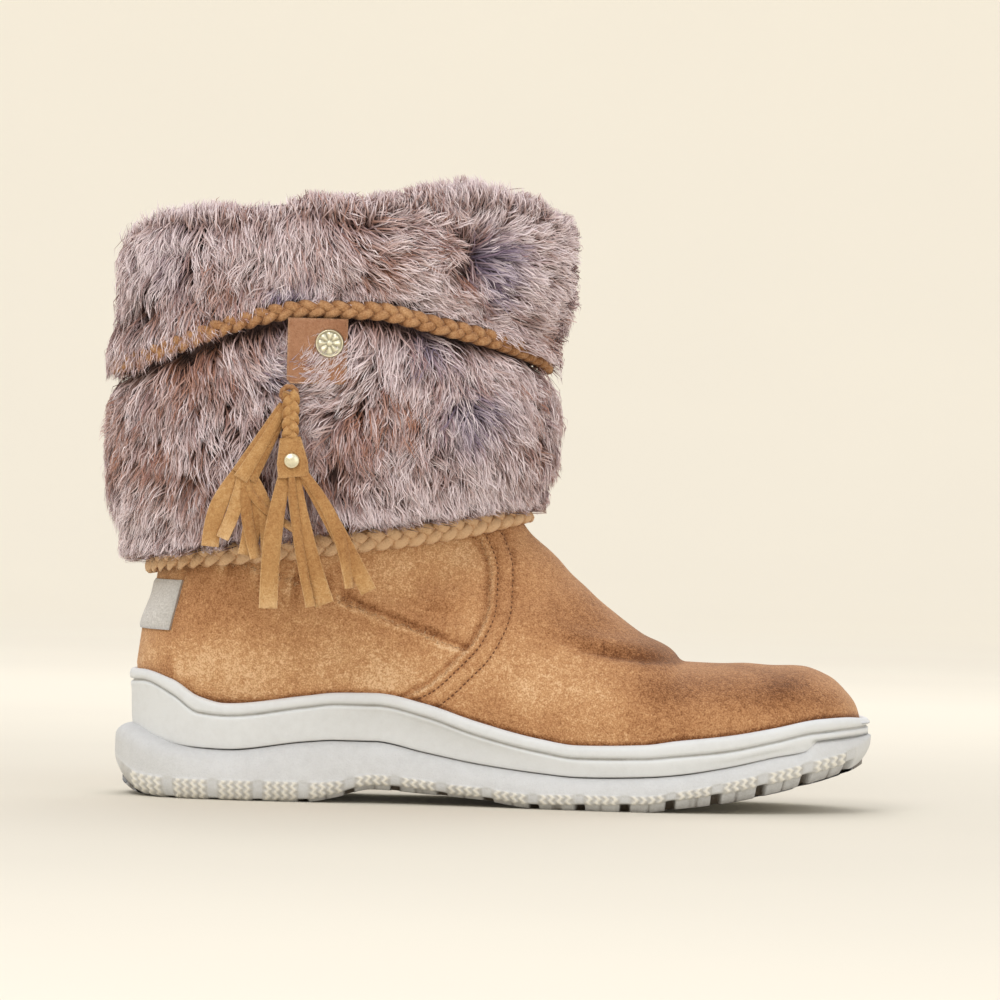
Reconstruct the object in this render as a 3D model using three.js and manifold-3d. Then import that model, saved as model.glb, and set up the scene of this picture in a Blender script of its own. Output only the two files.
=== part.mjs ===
// A mukluk boot, right foot: moulded sole, hollow suede upper, fur cuff, plaited ties and tassels.
// Millimetres, +X to the toe, +Z up, outer side of the foot at -Y. The origin is on the heel's tread.
import * as THREE from "three";
import { mergeVertices } from "three/addons/utils/BufferGeometryUtils.js";
import Module from "manifold-3d";

const wasm = await Module();
wasm.setup();

// Lengths along the foot
const soleLength = 286;
const heelRestShare = 0.175;

// Widths
const ballWidth = 104;
const flareWidth = 5;
const lastWidth = ballWidth - 2 * flareWidth;

// Heights above the floor
const bedHeight = 28;
const instepHeight = 106.4;
const collarHeight = 216;

// Leather, foam and rubber
const wall = 2;
const heelPanelStep = 0.8;
const vampStep = 1.4;
const insoleThickness = 3;
const clearance = 0.3;

// Tread
const lugDepth = 3;
const blockHeight = 7.5;
const blockGap = 3.6;
const blockPitch = 17;
const firstGap = 22;
const notchDepth = 6;
const ribDepth = 1.1;
const grooveDepth = 1.3;

// Fur cuff
const furDepth = 22;
const furRise = 11;
const lockLength = 22;
const lockWidth = 31;
const lockThickness = 5;
const lockSpread = 1.6;
const locksAround = 10;

// Plaits, as width, thickness and the length of one lobe
const lowerPlait = { width: 8, thickness: 4, lobe: 11 };
const upperPlait = { width: 6.2, thickness: 4.6, lobe: 9 };

// Tab, badge, rivet and tag
const tab = { width: 22, height: 24, thickness: 2, corner: 1.5 };
const badge = { radius: 5.4, thickness: 1.6 };
const rivet = { radius: 2.9, thickness: 1.8 };
const tag = { width: 15, height: 18, thickness: 0.9 };
const ring = { radius: 2.6, cord: 1.1 };
const strip = { width: 6.4, thickness: 1.4 };
const tasselDepth = 3.2;
const tasselLength = 82;

// Resolution
const lastSections = 20;
const lastSides = 18;
const soleStations = 18;
const furSides = 24;

// The last: one row a section, from the toe, over the instep, to the collar. Each section runs from a low point
// on the sole or heel to a high point on the toe, instep or shin. Along the foot in shares of the sole's length,
// heights in shares of the bed's height (low), or of the instep's height (high), where 2 is the collar.
// widest is how far up the section is broadest; lower and upper are how square its halves are.
const lastRows = [
  { lowX: 0.979, lowZ: 1.06, highX: 0.98, highZ: 0.316, half: 0.16, widest: 0.5, lower: 2, upper: 2, shift: 0.12 },
  { lowX: 0.973, lowZ: 0.93, highX: 0.973, highZ: 0.373, half: 0.34, widest: 0.5, lower: 2.1, upper: 2.1, shift: 0.12 },
  { lowX: 0.961, lowZ: 0.84, highX: 0.961, highZ: 0.415, half: 0.5, widest: 0.48, lower: 2.2, upper: 2.2, shift: 0.12 },
  { lowX: 0.94, lowZ: 0.77, highX: 0.94, highZ: 0.464, half: 0.65, widest: 0.45, lower: 2.4, upper: 2.2, shift: 0.12 },
  { lowX: 0.908, lowZ: 0.69, highX: 0.908, highZ: 0.493, half: 0.785, widest: 0.42, lower: 2.8, upper: 2.3, shift: 0.11 },
  { lowX: 0.864, lowZ: 0.6, highX: 0.862, highZ: 0.5, half: 0.9, widest: 0.4, lower: 3.2, upper: 2.4, shift: 0.09 },
  { lowX: 0.804, lowZ: 0.52, highX: 0.806, highZ: 0.498, half: 0.965, widest: 0.38, lower: 3.4, upper: 2.3, shift: 0.06 },
  { lowX: 0.748, lowZ: 0.475, highX: 0.752, highZ: 0.501, half: 1, widest: 0.36, lower: 3.4, upper: 2.2, shift: 0.03 },
  { lowX: 0.71, lowZ: 0.46, highX: 0.724, highZ: 0.553, half: 1, widest: 0.35, lower: 3.4, upper: 2.1, shift: 0.01 },
  { lowX: 0.657, lowZ: 0.455, highX: 0.696, highZ: 0.594, half: 0.99, widest: 0.34, lower: 3.4, upper: 2.1, shift: 0 },
  { lowX: 0.594, lowZ: 0.475, highX: 0.661, highZ: 0.652, half: 0.955, widest: 0.33, lower: 3.4, upper: 2, shift: -0.01 },
  { lowX: 0.517, lowZ: 0.59, highX: 0.626, highZ: 0.724, half: 0.89, widest: 0.33, lower: 3.4, upper: 1.95, shift: -0.01 },
  { lowX: 0.434, lowZ: 0.75, highX: 0.594, highZ: 0.806, half: 0.83, widest: 0.33, lower: 3.3, upper: 1.95, shift: -0.01 },
  { lowX: 0.343, lowZ: 0.86, highX: 0.564, highZ: 0.888, half: 0.78, widest: 0.34, lower: 3.2, upper: 1.95, shift: 0 },
  { lowX: 0.245, lowZ: 0.88, highX: 0.538, highZ: 0.95, half: 0.765, widest: 0.36, lower: 3, upper: 2, shift: 0 },
  { lowX: 0.157, lowZ: 0.885, highX: 0.524, highZ: 1, half: 0.775, widest: 0.38, lower: 2.8, upper: 2, shift: 0 },
  { lowX: 0.091, lowZ: 0.945, highX: 0.514, highZ: 1.037, half: 0.8, widest: 0.4, lower: 2.5, upper: 2, shift: 0 },
  { lowX: 0.049, lowZ: 1.1, highX: 0.507, highZ: 1.078, half: 0.83, widest: 0.43, lower: 2.3, upper: 2, shift: 0 },
  { lowX: 0.032, lowZ: 1.43, highX: 0.504, highZ: 1.124, half: 0.86, widest: 0.46, lower: 2.2, upper: 2, shift: 0 },
  { lowX: 0.029, lowZ: 1.86, highX: 0.502, highZ: 1.18, half: 0.895, widest: 0.48, lower: 2.2, upper: 2.1, shift: 0 },
  { lowX: 0.036, lowZ: 2.29, highX: 0.501, highZ: 1.234, half: 0.925, widest: 0.5, lower: 2.2, upper: 2.1, shift: 0 },
  { lowX: 0.05, lowZ: 2.71, highX: 0.5, highZ: 1.288, half: 0.955, widest: 0.5, lower: 2.15, upper: 2.15, shift: 0 },
  { lowX: 0.056, lowZ: 3.14, highX: 0.5, highZ: 1.352, half: 0.98, widest: 0.5, lower: 2.1, upper: 2.1, shift: 0 },
  { lowX: 0.056, lowZ: 3.93, highX: 0.502, highZ: 1.47, half: 1.01, widest: 0.5, lower: 2.1, upper: 2.1, shift: 0 },
  { lowX: 0.052, lowZ: 4.82, highX: 0.505, highZ: 1.616, half: 1.03, widest: 0.5, lower: 2.1, upper: 2.1, shift: 0 },
  { lowX: 0.049, lowZ: 5.71, highX: 0.509, highZ: 1.762, half: 1.04, widest: 0.5, lower: 2.1, upper: 2.1, shift: 0 },
  { lowX: 0.049, lowZ: 6.6, highX: 0.512, highZ: 1.9, half: 1.04, widest: 0.5, lower: 2.1, upper: 2.1, shift: 0 },
  { lowX: 0.049, lowZ: 7.57, highX: 0.516, highZ: 2.05, half: 1.04, widest: 0.5, lower: 2.1, upper: 2.1, shift: 0 },
  { lowX: 0.049, lowZ: 8.9, highX: 0.52, highZ: 2.3, half: 1.04, widest: 0.5, lower: 2.1, upper: 2.1, shift: 0 },
];

// Plan of the sole: half widths in shares of half the ball's width, on the outer and the inner side
const planRows = [
  { at: 0, outer: 0, inner: 0 },
  { at: 0.035, outer: 0.47, inner: 0.45 },
  { at: 0.1, outer: 0.71, inner: 0.68 },
  { at: 0.19, outer: 0.8, inner: 0.76 },
  { at: 0.29, outer: 0.79, inner: 0.72 },
  { at: 0.38, outer: 0.78, inner: 0.69 },
  { at: 0.47, outer: 0.83, inner: 0.76 },
  { at: 0.57, outer: 0.93, inner: 0.89 },
  { at: 0.67, outer: 1.01, inner: 0.98 },
  { at: 0.75, outer: 0.99, inner: 1 },
  { at: 0.83, outer: 0.92, inner: 1.01 },
  { at: 0.9, outer: 0.77, inner: 0.93 },
  { at: 0.955, outer: 0.53, inner: 0.75 },
  { at: 0.99, outer: 0.19, inner: 0.45 },
  { at: 1, outer: -0.13, inner: 0.13 },
];

// Side profile of the sole: heights in shares of the bed's height, at shares of the sole's length
const profileRows = [
  { at: 0, tread: 0.3, split: 0.96, welt: 1.52, lip: 1.69, bed: 1.05 },
  { at: 0.012, tread: 0.17, split: 0.95, welt: 1.52, lip: 1.69, bed: 1.05 },
  { at: 0.04, tread: 0.03, split: 0.83, welt: 1.54, lip: 1.69, bed: 1.04 },
  { at: 0.08, tread: 0, split: 0.71, welt: 1.37, lip: 1.58, bed: 1.02 },
  { at: 0.115, tread: 0, split: 0.67, welt: 1.14, lip: 1.36, bed: 1.01 },
  { at: 0.15, tread: 0, split: 0.66, welt: 1.11, lip: 1.28, bed: 1 },
  { at: 0.255, tread: 0, split: 0.79, welt: 1.25, lip: 1.41, bed: 1.02 },
  { at: 0.295, tread: 0.07, split: 0.82, welt: 1.3, lip: 1.46, bed: 1.02 },
  { at: 0.345, tread: 0.19, split: 0.82, welt: 1.3, lip: 1.47, bed: 1 },
  { at: 0.41, tread: 0.15, split: 0.69, welt: 1.17, lip: 1.35, bed: 0.9 },
  { at: 0.48, tread: 0.1, split: 0.56, welt: 0.94, lip: 1.13, bed: 0.77 },
  { at: 0.56, tread: 0, split: 0.465, welt: 0.75, lip: 0.93, bed: 0.66 },
  { at: 0.61, tread: 0, split: 0.43, welt: 0.68, lip: 0.86, bed: 0.605 },
  { at: 0.695, tread: 0, split: 0.455, welt: 0.7, lip: 0.89, bed: 0.605 },
  { at: 0.735, tread: 0.05, split: 0.49, welt: 0.74, lip: 0.95, bed: 0.63 },
  { at: 0.8, tread: 0.14, split: 0.6, welt: 0.82, lip: 1.03, bed: 0.68 },
  { at: 0.865, tread: 0.28, split: 0.75, welt: 0.96, lip: 1.15, bed: 0.76 },
  { at: 0.91, tread: 0.4, split: 0.84, welt: 1.07, lip: 1.25, bed: 0.83 },
  { at: 0.925, tread: 0.44, split: 0.99, welt: 1.09, lip: 1.27, bed: 0.86 },
  { at: 0.96, tread: 0.54, split: 1.02, welt: 1.13, lip: 1.29, bed: 0.92 },
  { at: 0.985, tread: 0.64, split: 1.05, welt: 1.15, lip: 1.27, bed: 0.96 },
  { at: 1, tread: 0.74, split: 1.06, welt: 1.16, lip: 1.26, bed: 0.96 },
];

// Walls of the sole, from the tread up: which height each step follows, how far above it in millimetres, and how
// far inside the plan it lies at the heel and at the toe
const outsoleSteps = [
  { follows: "tread", rise: 0, heelInset: 3.6, toeInset: 3 },
  { follows: "tread", rise: 2.6, heelInset: 1, toeInset: 0.9 },
  { follows: "tread", rise: blockHeight, heelInset: 0, toeInset: 0.2 },
  { follows: "tread", rise: blockHeight + 0.6, heelInset: 0.9, toeInset: 1 },
  { follows: "split", rise: -2.2, heelInset: 3, toeInset: 0.9 },
  { follows: "split", rise: -0.5, heelInset: 5, toeInset: 1.3 },
  { follows: "split", rise: 0, heelInset: 6.4, toeInset: 2.4 },
];
const midsoleSteps = [
  { follows: "split", rise: clearance, heelInset: 7.2, toeInset: 2.6 },
  { follows: "split", rise: 1.4, heelInset: 6.6, toeInset: 2 },
  { follows: "welt", rise: -1.1, heelInset: 5.4, toeInset: 1.2 },
  { follows: "welt", rise: 0, heelInset: 5.4 + grooveDepth, toeInset: 1.2 + grooveDepth },
  { follows: "welt", rise: 1.1, heelInset: 5.2, toeInset: 1 },
  { follows: "lip", rise: -1, heelInset: 5.5, toeInset: 1.3 },
  { follows: "lip", rise: 0, heelInset: 6.6, toeInset: 2.4 },
  { follows: "lip", rise: 0, heelInset: 12, toeInset: 9 },
];

// Edge of the vamp panel on the side, from the fur down to the sole, and the heel panel's lapped upper edge
const vampEdgeRows = [
  { x: 0.45, z: 1.12 },
  { x: 0.465, z: 0.98 },
  { x: 0.483, z: 0.893 },
  { x: 0.491, z: 0.82 },
  { x: 0.49, z: 0.7 },
  { x: 0.473, z: 0.58 },
  { x: 0.447, z: 0.5 },
  { x: 0.416, z: 0.42 },
  { x: 0.38, z: 0.36 },
  { x: 0.35, z: 0 },
];
const heelEdgeRows = [
  { x: -0.05, z: 0.92 },
  { x: 0.1, z: 0.85 },
  { x: 0.196, z: 0.8 },
  { x: 0.306, z: 0.695 },
  { x: 0.378, z: 0.62 },
  { x: 0.5, z: 0.5 },
];

// Fur: how far it stands off the shaft, in shares of its depth. The lower roll runs from the fur's foot to the
// plait, and the upper roll from the plait to the fur's top.
const lowerRollRows = [
  { rise: 0, back: 0.3, front: 0.22 },
  { rise: 0.04, back: 0.64, front: 0.7 },
  { rise: 0.16, back: 0.86, front: 0.92 },
  { rise: 0.5, back: 0.97, front: 1.04 },
  { rise: 0.84, back: 0.86, front: 0.94 },
  { rise: 1, back: 0.66, front: 0.7 },
];
const upperRollRows = [
  { rise: 0, back: 0.66, front: 0.7 },
  { rise: 0.13, back: 0.76, front: 1 },
  { rise: 0.42, back: 0.8, front: 1.13 },
  { rise: 0.74, back: 0.72, front: 1.04 },
  { rise: 0.92, back: 0.46, front: 0.84 },
  { rise: 1, back: 0.2, front: 0.5 },
];
// Rows of locks: which roll, how far up it they are rooted, whether they point up or down, and how long they are
const lockRows = [
  { roll: "lower", rise: 0.3, up: -1, length: 1.2 },
  { roll: "lower", rise: 0.52, up: -1, length: 0.9 },
  { roll: "lower", rise: 0.8, up: -1, length: 0.8 },
  { roll: "upper", rise: 0.5, up: 1, length: 0.9 },
  { roll: "upper", rise: 0.84, up: 1, length: 0.75 },
];
// Height of the upper plait, in shares of the way from instep to collar, at places along the shaft
const plaitRows = [
  { x: 0, z: 0.49 },
  { x: 0.056, z: 0.5 },
  { x: 0.108, z: 0.555 },
  { x: 0.171, z: 0.635 },
  { x: 0.255, z: 0.69 },
  { x: 0.322, z: 0.69 },
  { x: 0.388, z: 0.65 },
  { x: 0.451, z: 0.605 },
  { x: 0.495, z: 0.56 },
  { x: 0.52, z: 0.5 },
  { x: 0.6, z: 0.49 },
];

// Interpolation between the rows of a table

function mix(a, b, t) {
  return a + (b - a) * t;
}

// Slopes of a smooth curve that never overshoots its points
function gentleSlopes(xs, ys) {
  const n = xs.length;
  const secant = [];
  for (let i = 0; i < n - 1; i++) secant.push((ys[i + 1] - ys[i]) / (xs[i + 1] - xs[i]));
  const slopes = [secant[0]];
  for (let i = 1; i < n - 1; i++) {
    const flat = secant[i - 1] * secant[i] <= 0;
    slopes.push(flat ? 0 : (2 * secant[i - 1] * secant[i]) / (secant[i - 1] + secant[i]));
  }
  slopes.push(secant[n - 2]);
  return slopes;
}

function smoothCurve(xs, ys) {
  const slopes = gentleSlopes(xs, ys);
  return (x) => {
    const last = xs.length - 2;
    let i = 0;
    while (i < last && x > xs[i + 1]) i++;
    const step = xs[i + 1] - xs[i];
    const t = THREE.MathUtils.clamp((x - xs[i]) / step, 0, 1);
    const square = t * t;
    const cube = square * t;
    return (
      ys[i] * (2 * cube - 3 * square + 1) +
      ys[i + 1] * (3 * square - 2 * cube) +
      slopes[i] * step * (cube - 2 * square + t) +
      slopes[i + 1] * step * (cube - square)
    );
  };
}

function columnCurve(rows, key, column) {
  return smoothCurve(
    rows.map((row) => row[key]),
    rows.map((row) => row[column]),
  );
}

// A height given as a share of the instep, where the part past 1 counts from the instep to the collar
function highHeight(share) {
  if (share <= 1) return share * instepHeight;
  return instepHeight + (share - 1) * (collarHeight - instepHeight);
}

// A low point's height: shares of the bed's height up to the heel's crown, and from there up to the collar
const crownShare = 1.86;
const collarShare = 7.57;
function lowHeight(share) {
  const crown = crownShare * bedHeight;
  if (share <= crownShare) return share * bedHeight;
  return mix(crown, collarHeight - 4, (share - crownShare) / (collarShare - crownShare));
}

// The angle of one of several even places round the boot
function turnTo(place, places) {
  return (place / places) * 2 * Math.PI;
}

// Solids from vertices and faces

function toSolid(geometry) {
  const bare = geometry.clone();
  bare.deleteAttribute("normal");
  bare.deleteAttribute("uv");
  const merged = mergeVertices(bare, 1e-4);
  const vertProperties = new Float32Array(merged.attributes.position.array);
  const triVerts = new Uint32Array(merged.index.array);
  let made = new wasm.Manifold(new wasm.Mesh({ numProp: 3, vertProperties, triVerts }));
  if (made.volume() < 0) {
    for (let i = 0; i < triVerts.length; i += 3) {
      [triVerts[i + 1], triVerts[i + 2]] = [triVerts[i + 2], triVerts[i + 1]];
    }
    made = new wasm.Manifold(new wasm.Mesh({ numProp: 3, vertProperties, triVerts }));
  }
  return made;
}

// Rings of equally many points, one after the other, closed at both ends
function loftSolid(rings, capStart, capEnd) {
  const sides = rings[0].length;
  const points = rings.flat();
  const faces = [];
  for (let i = 0; i < rings.length - 1; i++) {
    for (let j = 0; j < sides; j++) {
      const a = i * sides + j;
      const b = i * sides + ((j + 1) % sides);
      faces.push(a, b, a + sides, b, b + sides, a + sides);
    }
  }
  capStart(points, faces, 0, sides, false);
  capEnd(points, faces, (rings.length - 1) * sides, sides, true);
  return facesToSolid(points, faces);
}

function facesToSolid(points, faces) {
  const geometry = new THREE.BufferGeometry().setFromPoints(points);
  geometry.setIndex(faces);
  return toSolid(geometry);
}

// Closes a ring with triangles to its middle
function fanCap(points, faces, start, sides, atEnd) {
  const middle = new THREE.Vector3();
  for (let j = 0; j < sides; j++) middle.addScaledVector(points[start + j], 1 / sides);
  points.push(middle);
  for (let j = 0; j < sides; j++) {
    const a = start + j;
    const b = start + ((j + 1) % sides);
    if (atEnd) faces.push(a, b, points.length - 1);
    else faces.push(b, a, points.length - 1);
  }
}

// Closes a sole's ring with rungs from side to side, so that its surface is level across the foot
function ladderCap(points, faces, start, sides, atEnd) {
  const rungs = sides / 2;
  const left = (k) => start + k;
  const right = (k) => start + ((sides - k) % sides);
  const add = (a, b, c) => (atEnd ? faces.push(a, b, c) : faces.push(a, c, b));
  for (let k = 0; k < rungs; k++) {
    if (k > 0) add(left(k), left(k + 1), right(k));
    if (k < rungs - 1) add(left(k + 1), right(k + 1), right(k));
  }
}

// A plate that runs right across the boot, from its outline in side view
const acrossBoot = 400;
function sidePrism(outline) {
  const shape = new THREE.Shape(outline.map(([x, z]) => new THREE.Vector2(x, z)));
  const geometry = new THREE.ExtrudeGeometry(shape, { depth: acrossBoot, bevelEnabled: false });
  geometry.rotateX(Math.PI / 2);
  geometry.translate(0, acrossBoot / 2, 0);
  return toSolid(geometry);
}

function toMesh(name, solid, look) {
  const mesh = solid.getMesh();
  const geometry = new THREE.BufferGeometry();
  geometry.setAttribute("position", new THREE.BufferAttribute(mesh.vertProperties, 3));
  geometry.setIndex(new THREE.BufferAttribute(mesh.triVerts, 1));
  geometry.computeVertexNormals();
  const made = new THREE.Mesh(geometry, new THREE.MeshStandardMaterial(look));
  made.name = name;
  return made;
}

// The last

const stations = lastRows.map(() => 0);
for (let i = 1; i < lastRows.length; i++) {
  const low = lastRows[i].lowX - lastRows[i - 1].lowX;
  const high = lastRows[i].highX - lastRows[i - 1].highX;
  const climb = (lastRows[i].highZ - lastRows[i - 1].highZ) * 0.4;
  const spread = (lastRows[i].half - lastRows[i - 1].half) * 0.16;
  stations[i] = stations[i - 1] + Math.hypot(low, high, climb, spread);
}
const lastEnd = stations[stations.length - 1];
const lastColumn = {};
for (const name of Object.keys(lastRows[0])) {
  lastColumn[name] = smoothCurve(
    stations,
    lastRows.map((row) => row[name]),
  );
}

function lastSurface(station, angle) {
  const at = THREE.MathUtils.clamp(station, 0, lastEnd);
  const lowX = lastColumn.lowX(at) * soleLength;
  const highX = lastColumn.highX(at) * soleLength;
  const lowZ = lowHeight(lastColumn.lowZ(at));
  const highZ = highHeight(lastColumn.highZ(at));
  const widest = lastColumn.widest(at);
  const along = Math.cos(angle);
  const across = Math.sin(angle);
  const square = along > 0 ? lastColumn.upper(at) : lastColumn.lower(at);
  const reach = Math.pow(Math.abs(along) ** square + Math.abs(across) ** square, -1 / square);
  const rise = widest + reach * along * (along > 0 ? 1 - widest : widest);
  const half = (lastWidth / 2) * lastColumn.half(at);
  const shift = (lastWidth / 2) * lastColumn.shift(at);
  return new THREE.Vector3(mix(lowX, highX, rise), shift - reach * across * half, mix(lowZ, highZ, rise));
}

const nudge = 1e-3;
function lastNormal(station, angle) {
  const before = Math.max(station - nudge, 0);
  const after = Math.min(station + nudge, lastEnd);
  const forward = lastSurface(after, angle).sub(lastSurface(before, angle));
  const round = lastSurface(station, angle + nudge).sub(lastSurface(station, angle - nudge));
  return forward.cross(round).normalize();
}

function lastPoint(station, angle, offset) {
  return lastSurface(station, angle).addScaledVector(lastNormal(station, angle), offset);
}

// Sections lie closer together at the toe, where the last turns most
const toeCrowding = 1.35;
function lastSolid(offset) {
  const rings = [];
  for (let i = 0; i <= lastSections; i++) {
    const station = lastEnd * (i / lastSections) ** toeCrowding;
    const ring = [];
    for (let j = 0; j < lastSides; j++) ring.push(lastPoint(station, turnTo(j, lastSides), offset));
    rings.push(ring);
  }
  return loftSolid(rings, fanCap, fanCap);
}

// The shaft's station at which the last reaches a height, which may depend on the place along the foot
const shaftStart = stations[13];
function stationAt(angle, heightAt) {
  let low = shaftStart;
  let high = lastEnd;
  for (let i = 0; i < 40; i++) {
    const middle = (low + high) / 2;
    const point = lastSurface(middle, angle);
    if (point.z < heightAt(point)) low = middle;
    else high = middle;
  }
  return (low + high) / 2;
}

// Sole: plan and side profile

const planAt = (share) => Math.acos(1 - 2 * THREE.MathUtils.clamp(share, 0, 1)) / Math.PI;
const planCurve = {};
for (const side of ["outer", "inner"]) {
  planCurve[side] = smoothCurve(
    planRows.map((row) => planAt(row.at)),
    planRows.map((row) => row[side]),
  );
}
const profileCurve = {};
for (const name of ["tread", "split", "welt", "lip", "bed"]) {
  profileCurve[name] = columnCurve(profileRows, "at", name);
}

function soleHeight(name, x) {
  return bedHeight * profileCurve[name](THREE.MathUtils.clamp(x / soleLength, 0, 1));
}

// The plan's outline, heel to toe along the outer side and back along the inner side
function planRing(inset) {
  const ring = [];
  const count = 2 * soleStations;
  for (let k = 0; k < count; k++) {
    const outer = k <= soleStations;
    const t = (outer ? k : count - k) / soleStations;
    const x = (soleLength * (1 - Math.cos(Math.PI * t))) / 2;
    let y = (ballWidth / 2) * planCurve[outer ? "outer" : "inner"](t);
    if (k === soleStations) y = (ballWidth / 4) * (planCurve.outer(1) - planCurve.inner(1));
    ring.push(new THREE.Vector2(x, outer ? -y : y));
  }
  return ring.map((point, k) => {
    const ahead = ring[(k + 1) % count].clone().sub(ring[(k + count - 1) % count]);
    const inward = new THREE.Vector2(-ahead.y, ahead.x).normalize();
    return point.clone().addScaledVector(inward, inset(point.x / soleLength));
  });
}

function soleBody(steps) {
  const rings = steps.map((step) =>
    planRing((share) => mix(step.heelInset, step.toeInset, share)).map(
      (point) => new THREE.Vector3(point.x, point.y, soleHeight(step.follows, point.x) + step.rise),
    ),
  );
  return loftSolid(rings, ladderCap, ladderCap);
}

// Everything above a height that follows the foot's length
const profileSteps = 40;
const beyondEnds = 0.1;
function aboveProfile(heightAt) {
  const outline = [];
  for (let i = 0; i <= profileSteps; i++) {
    const x = mix(-beyondEnds, 1 + beyondEnds, i / profileSteps) * soleLength;
    outline.push([x, heightAt(x)]);
  }
  const top = 2 * collarHeight;
  outline.push([(1 + beyondEnds) * soleLength, top], [-beyondEnds * soleLength, top]);
  return sidePrism(outline);
}

const roomForUpper = lastSolid(vampStep + clearance);
const aboveBed = aboveProfile((x) => soleHeight("bed", x));
const footSpace = roomForUpper.intersect(aboveBed);

// Tread: gaps between the blocks, with a shallow zigzag groove across the sole from each to its partner
const zigzags = 4;
const zigzagSwing = 0.14;
const grooveReach = 0.62;
function crossGroove(x) {
  const outline = [];
  const half = grooveReach * ballWidth;
  const swing = zigzagSwing * blockPitch;
  for (let i = 0; i <= zigzags; i++) {
    outline.push([x - blockGap / 2 + swing * (i % 2), mix(-half, half, i / zigzags)]);
  }
  for (let i = zigzags; i >= 0; i--) {
    outline.push([x + blockGap / 2 + swing * (i % 2), mix(-half, half, i / zigzags)]);
  }
  const shape = new THREE.Shape(outline.map(([a, b]) => new THREE.Vector2(a, b)));
  const floorMargin = 5;
  const height = soleHeight("tread", x) + lugDepth + floorMargin;
  const geometry = new THREE.ExtrudeGeometry(shape, { depth: height, bevelEnabled: false });
  geometry.translate(0, 0, -floorMargin);
  return toSolid(geometry);
}

// Where a side wall of the sole is at a place along the foot, and which way it faces
function sideWall(x, outer) {
  const share = x / soleLength;
  const here = (ballWidth / 2) * planCurve[outer ? "outer" : "inner"](planAt(share));
  const ahead = (ballWidth / 2) * planCurve[outer ? "outer" : "inner"](planAt(share + nudge));
  const turn = Math.atan2(ahead - here, nudge * soleLength);
  const side = outer ? -1 : 1;
  return { y: side * here, turn: side * turn };
}

// A cutter that stands on the wall at x, turned to face it: width along the wall, depth into it
function wallCutter(x, outer, width, depth, height, base) {
  const wallAt = sideWall(x, outer);
  const side = outer ? -1 : 1;
  const reach = 2 * notchDepth;
  const geometry = new THREE.BoxGeometry(width, depth + reach, height);
  geometry.translate(0, side * (reach - depth) * 0.5, 0);
  geometry.rotateZ(wallAt.turn);
  geometry.translate(x, wallAt.y, base + height / 2);
  return toSolid(geometry);
}

// A rib's valley: a wedge with its edge towards the sole
function ribCutter(x, outer) {
  const wallAt = sideWall(x, outer);
  const side = outer ? -1 : 1;
  const half = 1.2 * ribDepth;
  const valley = new THREE.Shape([
    new THREE.Vector2(-half, side * ribDepth),
    new THREE.Vector2(0, -side * ribDepth),
    new THREE.Vector2(half, side * ribDepth),
  ]);
  const height = blockHeight * 0.94;
  const geometry = new THREE.ExtrudeGeometry(valley, { depth: height, bevelEnabled: false });
  geometry.rotateZ(wallAt.turn);
  geometry.translate(x, wallAt.y, soleHeight("tread", x) + 0.4);
  return toSolid(geometry);
}

function makeOutsole() {
  let made = soleBody(outsoleSteps).subtract(footSpace);
  for (let x = firstGap; x < soleLength - blockPitch * 0.4; x += blockPitch) {
    made = made.subtract(crossGroove(x));
    for (const outer of [true, false]) {
      const base = soleHeight("tread", x) - 5;
      made = made.subtract(wallCutter(x, outer, blockGap, notchDepth, blockHeight + 5, base));
      const rib = x + blockPitch / 2;
      if (rib < soleLength * 0.97) made = made.subtract(ribCutter(rib, outer));
    }
  }
  return made;
}

function makeMidsole() {
  return soleBody(midsoleSteps).subtract(footSpace);
}

const roomForInsole = lastSolid(-wall - clearance);
function makeInsole() {
  const bottom = aboveProfile((x) => soleHeight("bed", x) + clearance);
  const top = aboveProfile((x) => soleHeight("bed", x) + clearance + insoleThickness);
  return roomForInsole.intersect(bottom).subtract(top);
}

// Upper

function edgePoints(rows) {
  return rows.map((row) => [row.x * soleLength, highHeight(row.z)]);
}

const collarSlope = 0.075;
const collarAt = (x) => collarHeight + (x - 0.3 * soleLength) * collarSlope;

function makeUpper() {
  const far = 1.2 * soleLength;
  const high = 2 * collarHeight;
  const vampEdge = edgePoints(vampEdgeRows);
  const vampRegion = sidePrism([...vampEdge, [far, 0], [far, high], [vampEdge[0][0], high]]);
  const heelRegion = sidePrism([...edgePoints(heelEdgeRows), [0.5 * soleLength, 0], [-0.05 * soleLength, 0]]);
  const vamp = lastSolid(vampStep).intersect(vampRegion);
  const heelPanel = lastSolid(heelPanelStep).intersect(heelRegion);
  const skin = lastSolid(0).add(heelPanel).add(vamp);
  const open = lastSolid(-wall);
  return skin
    .subtract(open)
    .subtract(aboveProfile(collarAt))
    .intersect(aboveProfile((x) => soleHeight("bed", x) + clearance));
}

// Fur, and the plaits that bind it

const lowerPlaitBack = 0.818 * instepHeight;
const lowerPlaitRise = 0.188 * instepHeight;
const footLift = 3;
function lowerPlaitHeight(x) {
  const heel = lastRows[lastRows.length - 1].lowX * soleLength;
  const shin = lastRows[lastRows.length - 1].highX * soleLength;
  return lowerPlaitBack + (lowerPlaitRise * (x - heel)) / (shin - heel);
}

const plaitCurve = columnCurve(plaitRows, "x", "z");
function upperPlaitHeight(x) {
  return mix(instepHeight, collarHeight, plaitCurve(x / soleLength));
}

// The second plait lies under the first on the inner side only
const plaitGap = 0.4;
function innerShare(angle) {
  return THREE.MathUtils.smoothstep(-Math.sin(angle), 0.15, 0.5);
}

const outward = (station, angle) => lastNormal(station, angle).setZ(0).normalize();

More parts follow.
